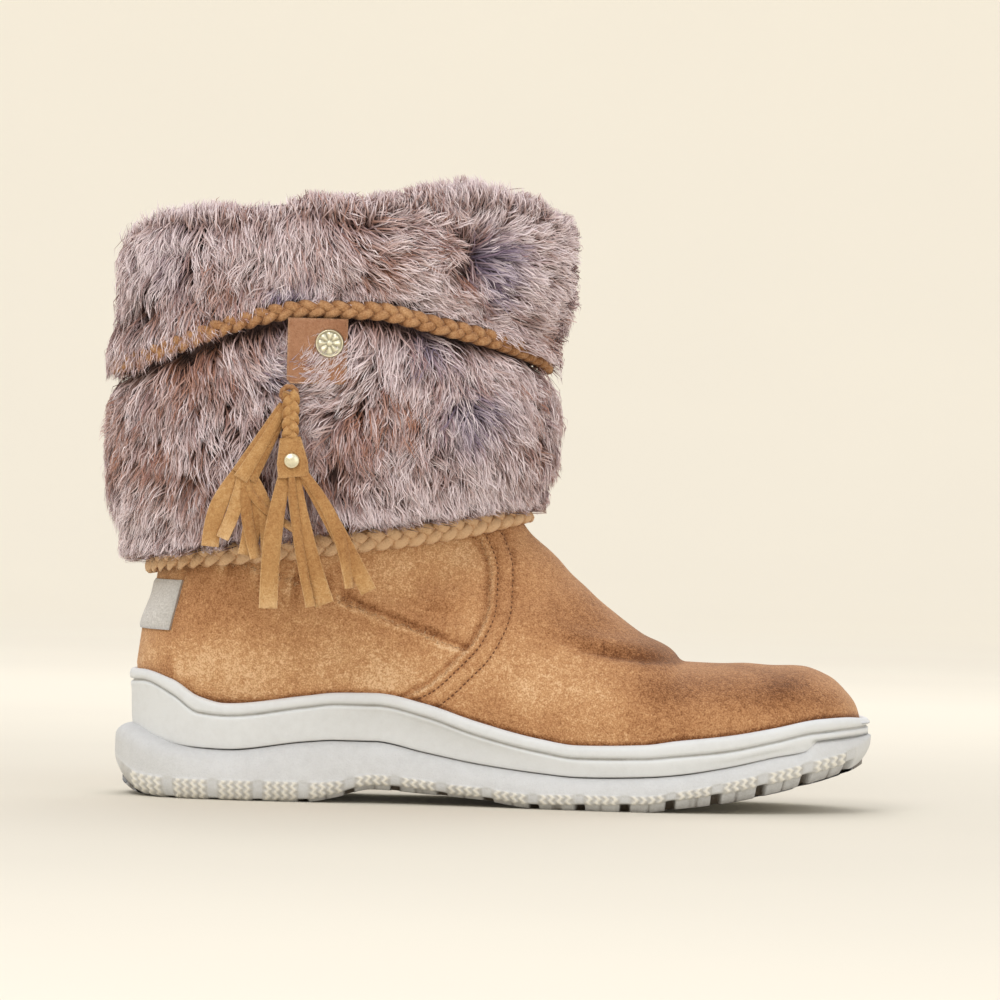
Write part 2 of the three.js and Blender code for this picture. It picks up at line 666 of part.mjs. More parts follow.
function rollHeight(roll, rise, angle, x) {
  const groove = upperPlait.width / 2 + plaitGap;
  const second = innerShare(angle) * (upperPlait.width + plaitGap);
  if (roll === "lower") {
    const lift = footLift * ((1 + Math.cos(angle)) / 2) ** 4;
    const foot = lowerPlaitHeight(x) + lowerPlait.width / 2 + plaitGap + lift;
    return mix(foot, upperPlaitHeight(x) - groove - second, rise);
  }
  return mix(upperPlaitHeight(x) + groove, collarAt(x) + furRise, rise);
}

const rollRows = { lower: lowerRollRows, upper: upperRollRows };
const rollDepth = {};
for (const roll of ["lower", "upper"]) {
  rollDepth[roll] = {
    back: columnCurve(rollRows[roll], "rise", "back"),
    front: columnCurve(rollRows[roll], "rise", "front"),
  };
}

// A point of the fur's surface, or extra millimetres outside it
function furPoint(roll, rise, angle, extra) {
  const station = stationAt(angle, (point) => rollHeight(roll, rise, angle, point.x));
  const frontShare = (1 + Math.cos(angle)) / 2;
  const depth = furDepth * mix(rollDepth[roll].back(rise), rollDepth[roll].front(rise), frontShare);
  return lastSurface(station, angle).addScaledVector(outward(station, angle), depth + extra);
}

function furLock({ roll, rise, up, length }, angle) {
  const sunk = -2;
  const root = furPoint(roll, rise, angle, sunk);
  const beside = furPoint(roll, rise, angle + 0.02, sunk).sub(root).normalize();
  const out = new THREE.Vector3(beside.y, -beside.x, 0).normalize();
  if (out.dot(new THREE.Vector3(root.x - 0.28 * soleLength, root.y, 0)) < 0) out.negate();
  const along = new THREE.Vector3(0, 0, up);
  const tip = root.clone().addScaledVector(along, length * lockLength).addScaledVector(out, lockSpread - sunk);
  const points = [];
  for (const [side, layer] of [[-1, -1], [1, -1], [1, 1], [-1, 1]]) {
    points.push(
      root
        .clone()
        .addScaledVector(beside, (side * lockWidth) / 2)
        .addScaledVector(out, layer > 0 ? -sunk : -sunk - lockThickness)
        .addScaledVector(along, layer > 0 ? lockThickness : 0),
    );
  }
  points.push(tip);
  const faces = [0, 2, 1, 0, 3, 2];
  for (let j = 0; j < 4; j++) faces.push(j, (j + 1) % 4, 4);
  return facesToSolid(points, faces);
}

// Places on the fur that the tab and the tassels lie on
function underTab(point) {
  const near = Math.abs(point.x - tabPlace.x) < tab.width * 0.5 + lockWidth * 0.4;
  return near && Math.abs(point.z - tabPlace.z) < tab.height * 0.5 + lockLength * 0.6;
}

function makeFur() {
  const rings = [];
  for (const roll of ["lower", "upper"]) {
    for (const row of rollRows[roll]) {
      const ring = [];
      for (let j = 0; j < furSides; j++) ring.push(furPoint(roll, row.rise, turnTo(j, furSides), 0));
      rings.push(ring);
    }
  }
  let made = loftSolid(rings, fanCap, fanCap);
  lockRows.forEach((row, index) => {
    for (let j = 0; j < locksAround; j++) {
      const angle = turnTo(j + 0.5 * (index % 2), locksAround);
      if (!underTab(furPoint(row.roll, row.rise, angle, 0))) {
        made = made.add(furLock(row, angle));
      }
    }
  });
  return made.subtract(roomForUpper);
}

// A plait along a row of places, each with a point, the way out and the way across: its edges bulge by turns
function plaitSolid(places, spec, closed) {
  const rings = places.map(({ point, out, across }, k) => {
    const upper = k % 2 ? 0.5 : 0.36;
    const lower = k % 2 ? 0.36 : 0.5;
    return [
      [upper, -0.5],
      [upper * 0.9, k % 2 ? 0.5 : 0.25],
      [-lower * 0.9, k % 2 ? 0.25 : 0.5],
      [-lower, -0.5],
    ].map(([side, height]) =>
      point
        .clone()
        .addScaledVector(across, side * spec.width)
        .addScaledVector(out, height * spec.thickness),
    );
  });
  if (!closed) return loftSolid(rings, fanCap, fanCap);
  rings.push(rings[0]);
  const joined = () => {};
  return loftSolid(rings, joined, joined);
}

// Even steps of half a lobe round a path, from its points at the sides of the fur
function evenPlaces(corners, spec, closed, middle) {
  const path = closed ? [...corners, corners[0]] : corners;
  const lengths = [0];
  for (let i = 1; i < path.length; i++) {
    lengths.push(lengths[i - 1] + path[i].point.distanceTo(path[i - 1].point));
  }
  const total = lengths[lengths.length - 1];
  const steps = 2 * Math.round(total / spec.lobe);
  const places = [];
  for (let k = 0; k < (closed ? steps : steps + 1); k++) {
    const along = (total * k) / steps;
    let i = 1;
    while (i < path.length - 1 && lengths[i] < along) i++;
    const t = (along - lengths[i - 1]) / (lengths[i] - lengths[i - 1]);
    const point = path[i - 1].point.clone().lerp(path[i].point, t);
    const out = path[i - 1].out.clone().lerp(path[i].out, t).normalize();
    const tangent = path[i].point.clone().sub(path[i - 1].point).normalize();
    const across = tangent.clone().cross(out).normalize();
    places.push({ point: point.addScaledVector(out, middle), out, across });
  }
  return places;
}

function upperPlaitCorner(angle, drop) {
  const corner = furPoint("upper", 0, angle, 0);
  corner.z -= upperPlait.width / 2 + plaitGap + drop;
  const station = stationAt(angle, (point) => upperPlaitHeight(point.x));
  return { point: corner, out: outward(station, angle) };
}

function makeUpperPlait() {
  const corners = [];
  for (let j = 0; j < furSides; j++) corners.push(upperPlaitCorner(turnTo(j, furSides), 0));
  const middle = upperPlait.thickness / 2 + clearance + 0.2;
  return plaitSolid(evenPlaces(corners, upperPlait, true, middle), upperPlait, true);
}

function makeInnerPlait() {
  const corners = [];
  for (let j = 0; j < furSides; j++) {
    const angle = turnTo(j, furSides);
    if (innerShare(angle) > 0.99) corners.push(upperPlaitCorner(angle, upperPlait.width + plaitGap));
  }
  const middle = upperPlait.thickness / 2 + clearance + 0.2;
  return plaitSolid(evenPlaces(corners, upperPlait, false, middle), upperPlait, false);
}

function makeLowerPlait() {
  const corners = [];
  const sides = 3 * furSides;
  for (let j = 0; j < sides; j++) {
    const angle = turnTo(j, sides);
    const station = stationAt(angle, (point) => lowerPlaitHeight(point.x));
    corners.push({ point: lastPoint(station, angle, vampStep), out: lastNormal(station, angle) });
  }
  const middle = lowerPlait.thickness / 2 + clearance + 0.6;
  return plaitSolid(evenPlaces(corners, lowerPlait, true, middle), lowerPlait, true).subtract(roomForUpper);
}

// Tab, badge, tassels and heel tag

// Where the plait passes the tab, the tab lies flat over it
const tabPlace = { x: 0.262 * soleLength, z: upperPlaitHeight(0.262 * soleLength) - tab.height / 2 };
// The outer tab hangs under its plait, and the inner one is folded over its two
function tabHeight(inner) {
  const half = upperPlait.width / 2;
  return tabPlace.z + (inner ? half + 1.5 : -half - clearance);
}

// The angle round the shaft at which the plait passes a place along the foot
function plaitAngleAt(x, inner) {
  let low = 0;
  let high = Math.PI;
  for (let i = 0; i < 40; i++) {
    const middle = (low + high) / 2;
    if (upperPlaitCorner(inner ? -middle : middle, 0).point.x > x) low = middle;
    else high = middle;
  }
  return inner ? -low : low;
}

// Distance from the middle plane to the tab's inner face
function tabSeat(inner) {
  const corner = upperPlaitCorner(plaitAngleAt(tabPlace.x, inner), 0);
  const seat = corner.point.addScaledVector(corner.out, upperPlait.thickness + 2 * clearance + 0.2);
  return Math.abs(seat.y);
}

function tabShape(grow) {
  const halfWidth = tab.width / 2 + grow;
  const halfHeight = tab.height / 2 + grow;
  const corner = tab.corner;
  const shape = new THREE.Shape();
  shape.moveTo(-halfWidth, halfHeight);
  shape.lineTo(-halfWidth, corner - halfHeight);
  shape.quadraticCurveTo(-halfWidth, -halfHeight, corner - halfWidth, -halfHeight);
  shape.lineTo(halfWidth - corner, -halfHeight);
  shape.quadraticCurveTo(halfWidth, -halfHeight, halfWidth, corner - halfHeight);
  shape.lineTo(halfWidth, halfHeight);
  return shape;
}

function tabSolid(inner, grow, thickness) {
  const options = { depth: thickness, bevelEnabled: false, curveSegments: 3 };
  const geometry = new THREE.ExtrudeGeometry(tabShape(grow), options);
  geometry.rotateX(Math.PI / 2);
  const side = inner ? 1 : -1;
  const middle = tabSeat(inner) + tab.thickness / 2;
  geometry.translate(tabPlace.x, side * middle + thickness / 2, tabHeight(inner));
  return toSolid(geometry);
}

function badgeSolid(inner) {
  const flat = badge.thickness * 0.6;
  const profile = [
    new THREE.Vector2(0, 0),
    new THREE.Vector2(badge.radius, 0),
    new THREE.Vector2(badge.radius, flat),
    new THREE.Vector2(badge.radius * 0.62, badge.thickness),
    new THREE.Vector2(0, badge.thickness),
  ];
  const geometry = new THREE.LatheGeometry(profile, 16);
  if (!inner) geometry.rotateX(Math.PI);
  const side = inner ? 1 : -1;
  const seat = tabSeat(inner) + tab.thickness + clearance;
  const lift = (inner ? -0.22 : 0.12) * tab.height;
  geometry.translate(tabPlace.x + 0.2 * tab.width, side * seat, tabHeight(inner) + lift);
  return toSolid(geometry);
}

// Tassels: one row a strip, with where it ends beside the knot and how far it drops in shares of a tassel's length,
// how far it stands in front of its neighbours in strip thicknesses, and its share of a strip's width
const leftStrips = [
  { aside: -0.335, drop: 0.732, layer: 0.2, width: 1 },
  { aside: -0.28, drop: 0.695, layer: 1.4, width: 0.8 },
  { aside: -0.171, drop: 0.768, layer: 0.3, width: 1.05 },
  { aside: -0.128, drop: 0.78, layer: 1.6, width: 0.7 },
  { aside: -0.073, drop: 0.756, layer: 0.6, width: 0.95 },
  { aside: 0.061, drop: 0.659, layer: 1.7, width: 0.5 },
];
const rightStrips = [
  { aside: -0.067, drop: 1, layer: 0.3, width: 1.05 },
  { aside: 0.122, drop: 0.988, layer: 1.5, width: 0.55 },
  { aside: 0.183, drop: 0.976, layer: 0.2, width: 1.15 },
  { aside: 0.293, drop: 0.902, layer: 1.5, width: 0.75 },
  { aside: 0.378, drop: 0.915, layer: 0.4, width: 0.95 },
];
const knotPlace = {
  x: tabPlace.x - tab.width / 2 + 0.8 * tab.corner,
  z: tabHeight(false) - tab.height / 2 - clearance,
};
const leftHead = { x: -0.19, z: 0.366, width: 0.122 };
const rightHead = { x: 0.012, z: 0.33, width: 0.128, neck: 0.073, neckTop: 0.037, neckEnd: 0.256 };

// The fur's widest reach on the outer side, with its locks
const furReach = (lastWidth / 2) * 1.04 + furDepth * 1.01;
const leftSeat = furReach + tasselDepth / 2 + 1;
const rightSeat = leftSeat + tasselDepth + clearance;
const ringSeat = tabSeat(false) + tab.thickness + ring.cord;

// A flat strap down the outer side: points in side view, each with a width
function strapSolid(places, depth, front) {
  const rings = places.map(({ x, z, width }, k) => {
    const before = places[Math.max(k - 1, 0)];
    const after = places[Math.min(k + 1, places.length - 1)];
    const along = new THREE.Vector3(after.x - before.x, 0, after.z - before.z).normalize();
    const across = new THREE.Vector3(-along.z, 0, along.x);
    return [
      [0.5, 0.5],
      [0.5, -0.5],
      [-0.5, -0.5],
      [-0.5, 0.5],
    ].map(([side, layer]) =>
      new THREE.Vector3(x, -front + layer * depth, z).addScaledVector(across, side * width),
    );
  });
  return loftSolid(rings, fanCap, fanCap);
}

// A place beside and below the knot, in shares of a tassel's length
function fromKnot(aside, drop) {
  return { x: knotPlace.x + aside * tasselLength, z: knotPlace.z - drop * tasselLength };
}

function stripSolid(head, row, seat) {
  const width = strip.width * row.width;
  const start = fromKnot(head.x, head.z);
  const end = fromKnot(row.aside, row.drop);
  const places = [0, 0.3, 0.62, 1].map((t) => ({
    x: mix(start.x, end.x, t ** 0.85),
    z: mix(start.z, end.z, t),
    width: width * mix(0.6, 1, Math.min(t * 2, 1)),
  }));
  const front = seat - tasselDepth / 2 + strip.thickness * (0.5 + row.layer * 0.7);
  return strapSolid(places, strip.thickness, front);
}

function leftTassel() {
  const top = { x: knotPlace.x - 1.5, z: knotPlace.z - 2 * (ring.radius + ring.cord) - clearance };
  const head = fromKnot(leftHead.x, leftHead.z + 0.05);
  const width = leftHead.width * tasselLength;
  const wrap = [
    { x: top.x, z: top.z, width: width * 0.4 },
    { x: mix(top.x, head.x, 0.45), z: mix(top.z, head.z, 0.4), width: width * 0.8 },
    { x: head.x, z: head.z, width },
  ];
  let made = strapSolid(wrap, tasselDepth, leftSeat);
  for (const row of leftStrips) made = made.add(stripSolid(leftHead, row, leftSeat));
  return made;
}

function rightTassel() {
  const { x, z: neckTop } = fromKnot(rightHead.x, rightHead.neckTop);
  const neckLow = fromKnot(rightHead.x, rightHead.neckEnd).z;
  const neckWidth = rightHead.neck * tasselLength;
  const headWidth = rightHead.width * tasselLength;
  const neck = [];
  const lobes = 6;
  for (let k = 0; k <= lobes; k++) {
    const swell = k % 2 ? 1 : 0.72;
    neck.push({ x, z: mix(neckTop, neckLow, k / lobes), width: neckWidth * swell });
  }
  const head = [
    { x, z: neckLow + 0.1 * headWidth, width: headWidth * 0.75 },
    { x: x + 0.06 * headWidth, z: neckLow - 0.4 * headWidth, width: headWidth },
    { x: x + 0.15 * headWidth, z: neckLow - 1.15 * headWidth, width: headWidth * 1.08 },
  ];
  let made = strapSolid(neck, tasselDepth, rightSeat).add(strapSolid(head, tasselDepth, rightSeat));
  for (const row of rightStrips) made = made.add(stripSolid(rightHead, row, rightSeat));
  return made;
}

function rivetSolid() {
  const profile = [
    new THREE.Vector2(0, 0),
    new THREE.Vector2(rivet.radius, 0),
    new THREE.Vector2(rivet.radius, rivet.thickness * 0.35),
    new THREE.Vector2(rivet.radius * 0.7, rivet.thickness * 0.85),
    new THREE.Vector2(0, rivet.thickness),
  ];
  const geometry = new THREE.LatheGeometry(profile, 12);
  geometry.rotateX(Math.PI);
  const front = rightSeat + tasselDepth / 2 + clearance;
  const { x, z } = fromKnot(rightHead.x + 0.01, rightHead.z + 0.012);
  geometry.translate(x, -front, z);
  return toSolid(geometry);
}

// The small thong loop under the tab that carries both tassels
function loopSolid() {
  const geometry = new THREE.TorusGeometry(ring.radius, ring.cord, 5, 12);
  geometry.rotateX(Math.PI / 2);
  geometry.translate(knotPlace.x, -ringSeat, knotPlace.z - ring.radius - ring.cord);
  return toSolid(geometry);
}

// The tag lies round the heel's back seam, cut from the upper's own form
const tagPlace = { low: 0.585, high: 0.76 };
function tagSolid() {
  const low = tagPlace.low * instepHeight;
  const high = tagPlace.high * instepHeight;
  const back = -0.05 * soleLength;
  const edge = lastColumn.lowX(stations[20]) * soleLength + tag.width * 0.5;
  const region = sidePrism([
    [back, low],
    [edge, low],
    [edge + 0.25 * (high - low), high],
    [back, high],
  ]);
  const seat = heelPanelStep + clearance;
  return lastSolid(seat + tag.thickness).subtract(lastSolid(seat)).intersect(region);
}

const suede = { color: 0xb5824f, roughness: 0.95, metalness: 0 };
const foam = { color: 0xdad8ce, roughness: 0.7, metalness: 0 };
const rubberLook = { color: 0xc6c2b4, roughness: 0.8, metalness: 0 };
const fleece = { color: 0xcbbfa8, roughness: 1, metalness: 0 };
const furLook = { color: 0xa38a8c, roughness: 1, metalness: 0 };
const cordLook = { color: 0xc79a66, roughness: 0.95, metalness: 0 };
const tagLook = { color: 0xa79a88, roughness: 0.9, metalness: 0 };
const brassLook = { color: 0xd8cfae, roughness: 0.35, metalness: 1 };

const boot = new THREE.Group();
boot.position.x = -heelRestShare * soleLength;
boot.add(toMesh("outsole", makeOutsole(), rubberLook));
boot.add(toMesh("midsole", makeMidsole(), foam));
boot.add(toMesh("insole", makeInsole(), fleece));
boot.add(toMesh("upper", makeUpper(), suede));
const tabRoom = tabSolid(false, clearance, tab.thickness + 2 * clearance).add(
  tabSolid(true, clearance, tab.thickness + 2 * clearance),
);
boot.add(toMesh("fur_shaft", makeFur().subtract(tabRoom), furLook));
boot.add(toMesh("braid_upper", makeUpperPlait(), cordLook));
boot.add(toMesh("braid_inner_side", makeInnerPlait(), cordLook));
boot.add(toMesh("braid_lower", makeLowerPlait(), cordLook));
for (const inner of [false, true]) {
  const side = inner ? "inner" : "outer";
  boot.add(toMesh("keeper_tab_" + side, tabSolid(inner, 0, tab.thickness), suede));
  boot.add(toMesh("badge_" + side, badgeSolid(inner), brassLook));
}

boot.add(toMesh("thong_loop", loopSolid(), cordLook));
boot.add(toMesh("tassel_left", leftTassel(), suede));
boot.add(toMesh("tassel_right", rightTassel(), suede));
boot.add(toMesh("rivet", rivetSolid(), brassLook));
boot.add(toMesh("heel_label", tagSolid(), tagLook));

const object = new THREE.Group();
object.add(boot);
export default object;
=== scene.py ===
"""Looks of the mukluk boot: suede, fur, plaits, tassels and the moulded sole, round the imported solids.

Shapes are worked out in millimetres from the back of the heel, as the solids are, and built in metres.
"""

import math

import bpy
import numpy as np
from mathutils import Matrix, Vector
from mathutils.bvhtree import BVHTree


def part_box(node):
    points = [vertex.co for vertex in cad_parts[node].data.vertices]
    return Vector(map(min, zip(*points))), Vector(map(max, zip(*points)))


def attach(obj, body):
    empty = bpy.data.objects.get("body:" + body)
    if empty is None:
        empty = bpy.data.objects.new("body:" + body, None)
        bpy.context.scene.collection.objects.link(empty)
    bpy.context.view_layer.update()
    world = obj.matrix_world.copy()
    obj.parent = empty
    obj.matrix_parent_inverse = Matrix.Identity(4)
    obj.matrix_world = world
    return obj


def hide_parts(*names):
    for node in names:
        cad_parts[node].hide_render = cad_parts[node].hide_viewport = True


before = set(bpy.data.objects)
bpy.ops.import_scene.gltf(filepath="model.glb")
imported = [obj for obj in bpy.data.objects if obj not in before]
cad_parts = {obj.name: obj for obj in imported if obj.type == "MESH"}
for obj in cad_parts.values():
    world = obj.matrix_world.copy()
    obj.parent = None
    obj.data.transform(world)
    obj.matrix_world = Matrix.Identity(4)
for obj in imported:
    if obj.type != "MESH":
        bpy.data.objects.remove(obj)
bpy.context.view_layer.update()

# Sizes shared with the solids
SOLE = 286.0
HEEL_REST = 0.175 * SOLE
BALL = 104.0
LAST = 94.0
BED = 28.0
INSTEP = 106.4
COLLAR = 216.0
WALL = 2.0
HEEL_STEP = 0.8
VAMP_STEP = 1.4
GAP = 0.3
BLOCK = {"gap": 3.6, "pitch": 17.0, "first": 22.0, "notch": 4.5, "rise": 0.7}
FUR_DEPTH = 22.0
FUR_RISE = 11.0
LOWER_PLAIT = {"width": 8.0, "thickness": 4.0, "turn": 20.0, "strip": 4.3}
UPPER_PLAIT = {"width": 6.2, "thickness": 4.6, "turn": 18.0, "strip": 3.5}
TASSEL = 82.0

# The last, from the toe over the instep to the collar
LAST_NAMES = ("low_x", "low_z", "high_x", "high_z", "half", "widest", "lower", "upper", "shift")
LAST_ROWS = (
    (0.979, 1.06, 0.98, 0.316, 0.16, 0.5, 2, 2, 0.12),
    (0.973, 0.93, 0.973, 0.373, 0.34, 0.5, 2.1, 2.1, 0.12),
    (0.961, 0.84, 0.961, 0.415, 0.5, 0.48, 2.2, 2.2, 0.12),
    (0.94, 0.77, 0.94, 0.464, 0.65, 0.45, 2.4, 2.2, 0.12),
    (0.908, 0.69, 0.908, 0.493, 0.785, 0.42, 2.8, 2.3, 0.11),
    (0.864, 0.6, 0.862, 0.5, 0.9, 0.4, 3.2, 2.4, 0.09),
    (0.804, 0.52, 0.806, 0.498, 0.965, 0.38, 3.4, 2.3, 0.06),
    (0.748, 0.475, 0.752, 0.501, 1, 0.36, 3.4, 2.2, 0.03),
    (0.71, 0.46, 0.724, 0.553, 1, 0.35, 3.4, 2.1, 0.01),
    (0.657, 0.455, 0.696, 0.594, 0.99, 0.34, 3.4, 2.1, 0),
    (0.594, 0.475, 0.661, 0.652, 0.955, 0.33, 3.4, 2, -0.01),
    (0.517, 0.59, 0.626, 0.724, 0.89, 0.33, 3.4, 1.95, -0.01),
    (0.434, 0.75, 0.594, 0.806, 0.83, 0.33, 3.3, 1.95, -0.01),
    (0.343, 0.86, 0.564, 0.888, 0.78, 0.34, 3.2, 1.95, 0),
    (0.245, 0.88, 0.538, 0.95, 0.765, 0.36, 3, 2, 0),
    (0.157, 0.885, 0.524, 1, 0.775, 0.38, 2.8, 2, 0),
    (0.091, 0.945, 0.514, 1.037, 0.8, 0.4, 2.5, 2, 0),
    (0.049, 1.1, 0.507, 1.078, 0.83, 0.43, 2.3, 2, 0),
    (0.032, 1.43, 0.504, 1.124, 0.86, 0.46, 2.2, 2, 0),
    (0.029, 1.86, 0.502, 1.18, 0.895, 0.48, 2.2, 2.1, 0),
    (0.036, 2.29, 0.501, 1.234, 0.925, 0.5, 2.2, 2.1, 0),
    (0.05, 2.71, 0.5, 1.288, 0.955, 0.5, 2.15, 2.15, 0),
    (0.056, 3.14, 0.5, 1.352, 0.98, 0.5, 2.1, 2.1, 0),
    (0.056, 3.93, 0.502, 1.47, 1.01, 0.5, 2.1, 2.1, 0),
    (0.052, 4.82, 0.505, 1.616, 1.03, 0.5, 2.1, 2.1, 0),
    (0.049, 5.71, 0.509, 1.762, 1.04, 0.5, 2.1, 2.1, 0),
    (0.049, 6.6, 0.512, 1.9, 1.04, 0.5, 2.1, 2.1, 0),
    (0.049, 7.57, 0.516, 2.05, 1.04, 0.5, 2.1, 2.1, 0),
    (0.049, 8.9, 0.52, 2.3, 1.04, 0.5, 2.1, 2.1, 0),
)
# Plan of the sole: place, outer and inner half width
PLAN_ROWS = (
    (0, 0, 0), (0.035, 0.47, 0.45), (0.1, 0.71, 0.68), (0.19, 0.8, 0.76), (0.29, 0.79, 0.72),
    (0.38, 0.78, 0.69), (0.47, 0.83, 0.76), (0.57, 0.93, 0.89), (0.67, 1.01, 0.98), (0.75, 0.99, 1),
    (0.83, 0.92, 1.01), (0.9, 0.77, 0.93), (0.955, 0.53, 0.75), (0.99, 0.19, 0.45), (1, -0.13, 0.13),
)
# Side profile of the sole
PROFILE_NAMES = ("at", "tread", "split", "welt", "lip", "bed")
PROFILE_ROWS = (
    (0, 0.3, 0.96, 1.52, 1.69, 1.05), (0.012, 0.17, 0.95, 1.52, 1.69, 1.05),
    (0.04, 0.03, 0.83, 1.54, 1.69, 1.04), (0.08, 0, 0.71, 1.37, 1.58, 1.02),
    (0.115, 0, 0.67, 1.14, 1.36, 1.01), (0.15, 0, 0.66, 1.11, 1.28, 1),
    (0.255, 0, 0.79, 1.25, 1.41, 1.02), (0.295, 0.07, 0.82, 1.3, 1.46, 1.02),
    (0.345, 0.19, 0.82, 1.3, 1.47, 1), (0.41, 0.15, 0.69, 1.17, 1.35, 0.9),
    (0.48, 0.1, 0.56, 0.94, 1.13, 0.77), (0.56, 0, 0.465, 0.75, 0.93, 0.66),
    (0.61, 0, 0.43, 0.68, 0.86, 0.605), (0.695, 0, 0.455, 0.7, 0.89, 0.605),
    (0.735, 0.05, 0.49, 0.74, 0.95, 0.63), (0.8, 0.14, 0.6, 0.82, 1.03, 0.68),
    (0.865, 0.28, 0.75, 0.96, 1.15, 0.76), (0.91, 0.4, 0.84, 1.07, 1.25, 0.83),
    (0.925, 0.44, 0.99, 1.09, 1.27, 0.86), (0.96, 0.54, 1.02, 1.13, 1.29, 0.92),
    (0.985, 0.64, 1.05, 1.15, 1.27, 0.96), (1, 0.74, 1.06, 1.16, 1.26, 0.96),
)
# Ribbed band round the outsole: place from the heel, and its lower and upper edge above the tread
BAND_ROWS = (
    (0, 0.5, 8.0), (40, 0.3, 7.7), (70, 0.8, 7.8), (90, 1.5, 6.0), (113, 1.8, 5.6), (130, 0.9, 4.8),
    (170, 2.0, 6.0), (205, 3.2, 6.4), (243, 4.0, 8.6), (268, 3.7, 8.5), (286, 3.5, 8.0),
)
# Wall of the midsole: which height a ring follows, millimetres above it, and its inset at heel and toe
MIDSOLE_RINGS = (
    ("split", 0.2, 9, 5), ("split", 0.25, 7, 2.7), ("split", 0.7, 6.7, 2.3), ("split", 1.4, 6.5, 2),
    ("split", 2.6, 6.2, 1.7), ("welt", -3, 5.7, 1.3), ("welt", -1.6, 5.4, 1.2), ("welt", -0.6, 5.5, 1.3),
    ("welt", -0.35, 6.1, 1.9), ("welt", 0.1, 6.6, 2.4), ("welt", 0.5, 6.0, 1.8), ("welt", 0.8, 5.2, 1),
    ("welt", 1.6, 4.9, 0.7), ("lip", -1.9, 4.9, 0.7), ("lip", -0.9, 5.2, 1.1), ("lip", -0.25, 5.8, 1.7),
    ("lip", 0, 6.6, 2.5),
)
# Dirt and painted shade in the split line and the groove under the lip
MIDSOLE_GRIME_AND_SHADE = {
    ("split", 0.2): 0.9, ("split", 0.25): 0.6,
    ("welt", -0.35): 0.4, ("welt", 0.1): 0.6, ("welt", 0.5): 0.35,
}
LIP_THICKNESS = 1.3
# Edges of the panels in side view, and the stitched rows ahead of the vamp's edge
VAMP_EDGE = (
    (0.45, 1.12), (0.465, 0.98), (0.483, 0.893), (0.491, 0.82), (0.49, 0.7), (0.473, 0.58),
    (0.447, 0.5), (0.416, 0.42), (0.38, 0.36), (0.35, 0),
)
HEEL_EDGE = ((-0.05, 0.92), (0.1, 0.85), (0.196, 0.8), (0.306, 0.695), (0.378, 0.62), (0.5, 0.5))
STITCH_ROWS = (2.6, 8.2)
# Fur: how far it stands off, from the foot of a roll to its top, at the back and the front
LOWER_ROLL = (
    (0, 0.3, 0.22), (0.04, 0.64, 0.7), (0.16, 0.86, 0.92),
    (0.5, 0.97, 1.04), (0.84, 0.86, 0.94), (1, 0.66, 0.7),
)
UPPER_ROLL = (
    (0, 0.66, 0.7), (0.13, 0.76, 1), (0.42, 0.8, 1.13),
    (0.74, 0.72, 1.04), (0.92, 0.46, 0.84), (1, 0.2, 0.5),
)
PLAIT_ROWS = (
    (0, 0.49), (0.056, 0.5), (0.108, 0.555), (0.171, 0.635), (0.255, 0.69), (0.322, 0.69),
    (0.388, 0.65), (0.451, 0.605), (0.495, 0.56), (0.52, 0.5), (0.6, 0.49),
)
# Main fold across the vamp in side view, in millimetres, from the side up to the instep's top
CREASE = ((156, 66), (166, 61.5), (175, 58.2), (187, 56.2), (199, 54.6), (209, 54.4), (218, 55.0))
# Softer folds: path in side view, depth, width and the swell beside the trough
FOLDS = (
    {"path": ((206, 64), (194, 63), (180, 66), (168, 71)), "depth": 0.5, "width": 4.5, "swell": 0.3},
    {"path": ((122, 84), (110, 79), (98, 80), (84, 88)), "depth": 0.9, "width": 5, "swell": 0.5},
    {"path": ((130, 71), (118, 71), (106, 76), (94, 86)), "depth": 0.7, "width": 3.2, "swell": 0.6},
    {"path": ((60, 79), (48, 74), (34, 73), (20, 77)), "depth": 0.7, "width": 6, "swell": 0.4},
    {"path": ((166, 82), (158, 77), (151, 77), (144, 83)), "depth": 0.5, "width": 5, "swell": 0.3},
    {"path": ((250, 56), (244, 46), (246, 38)), "depth": 0.4, "width": 5, "swell": 0.3},
)


# Curves and the last's surface
class Curve:
    """A smooth curve through a table's points that never overshoots them."""

    def __init__(self, xs, ys):
        self.x = np.array(xs, float)
        self.y = np.array(ys, float)
        secant = np.diff(self.y) / np.diff(self.x)
        slopes = np.zeros(len(self.x))
        slopes[0], slopes[-1] = secant[0], secant[-1]
        for i in range(1, len(secant)):
            a, b = secant[i - 1], secant[i]
            slopes[i] = 0 if a * b <= 0 else 2 * a * b / (a + b)
        self.slopes = slopes

    def __call__(self, x):
        x = np.asarray(x, float)
        i = np.clip(np.searchsorted(self.x, x, side="left") - 1, 0, len(self.x) - 2)
        step = self.x[i + 1] - self.x[i]
        t = np.clip((x - self.x[i]) / step, 0, 1)
        return (
            self.y[i] * (2 * t**3 - 3 * t**2 + 1)
            + self.y[i + 1] * (3 * t**2 - 2 * t**3)
            + self.slopes[i] * step * (t**3 - 2 * t**2 + t)
            + self.slopes[i + 1] * step * (t**3 - t**2)
        )


def mix(a, b, t):
    return a + (b - a) * t


def smooth(a, b, x):
    t = np.clip((x - a) / (b - a), 0, 1)
    return t * t * (3 - 2 * t)


def unit(v):
    return v / np.maximum(np.linalg.norm(v, axis=-1, keepdims=True), 1e-9)


def bell(x, centre, width):
    """1 at the centre, falling to nearly nothing at twice the width."""
    return np.exp(-(((x - centre) / width) ** 2))


def box_of(node):
    """A solid's box in millimetres from the heel's back."""
    return [np.array(corner) * 1000 + (HEEL_REST, 0, 0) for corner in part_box(node)]


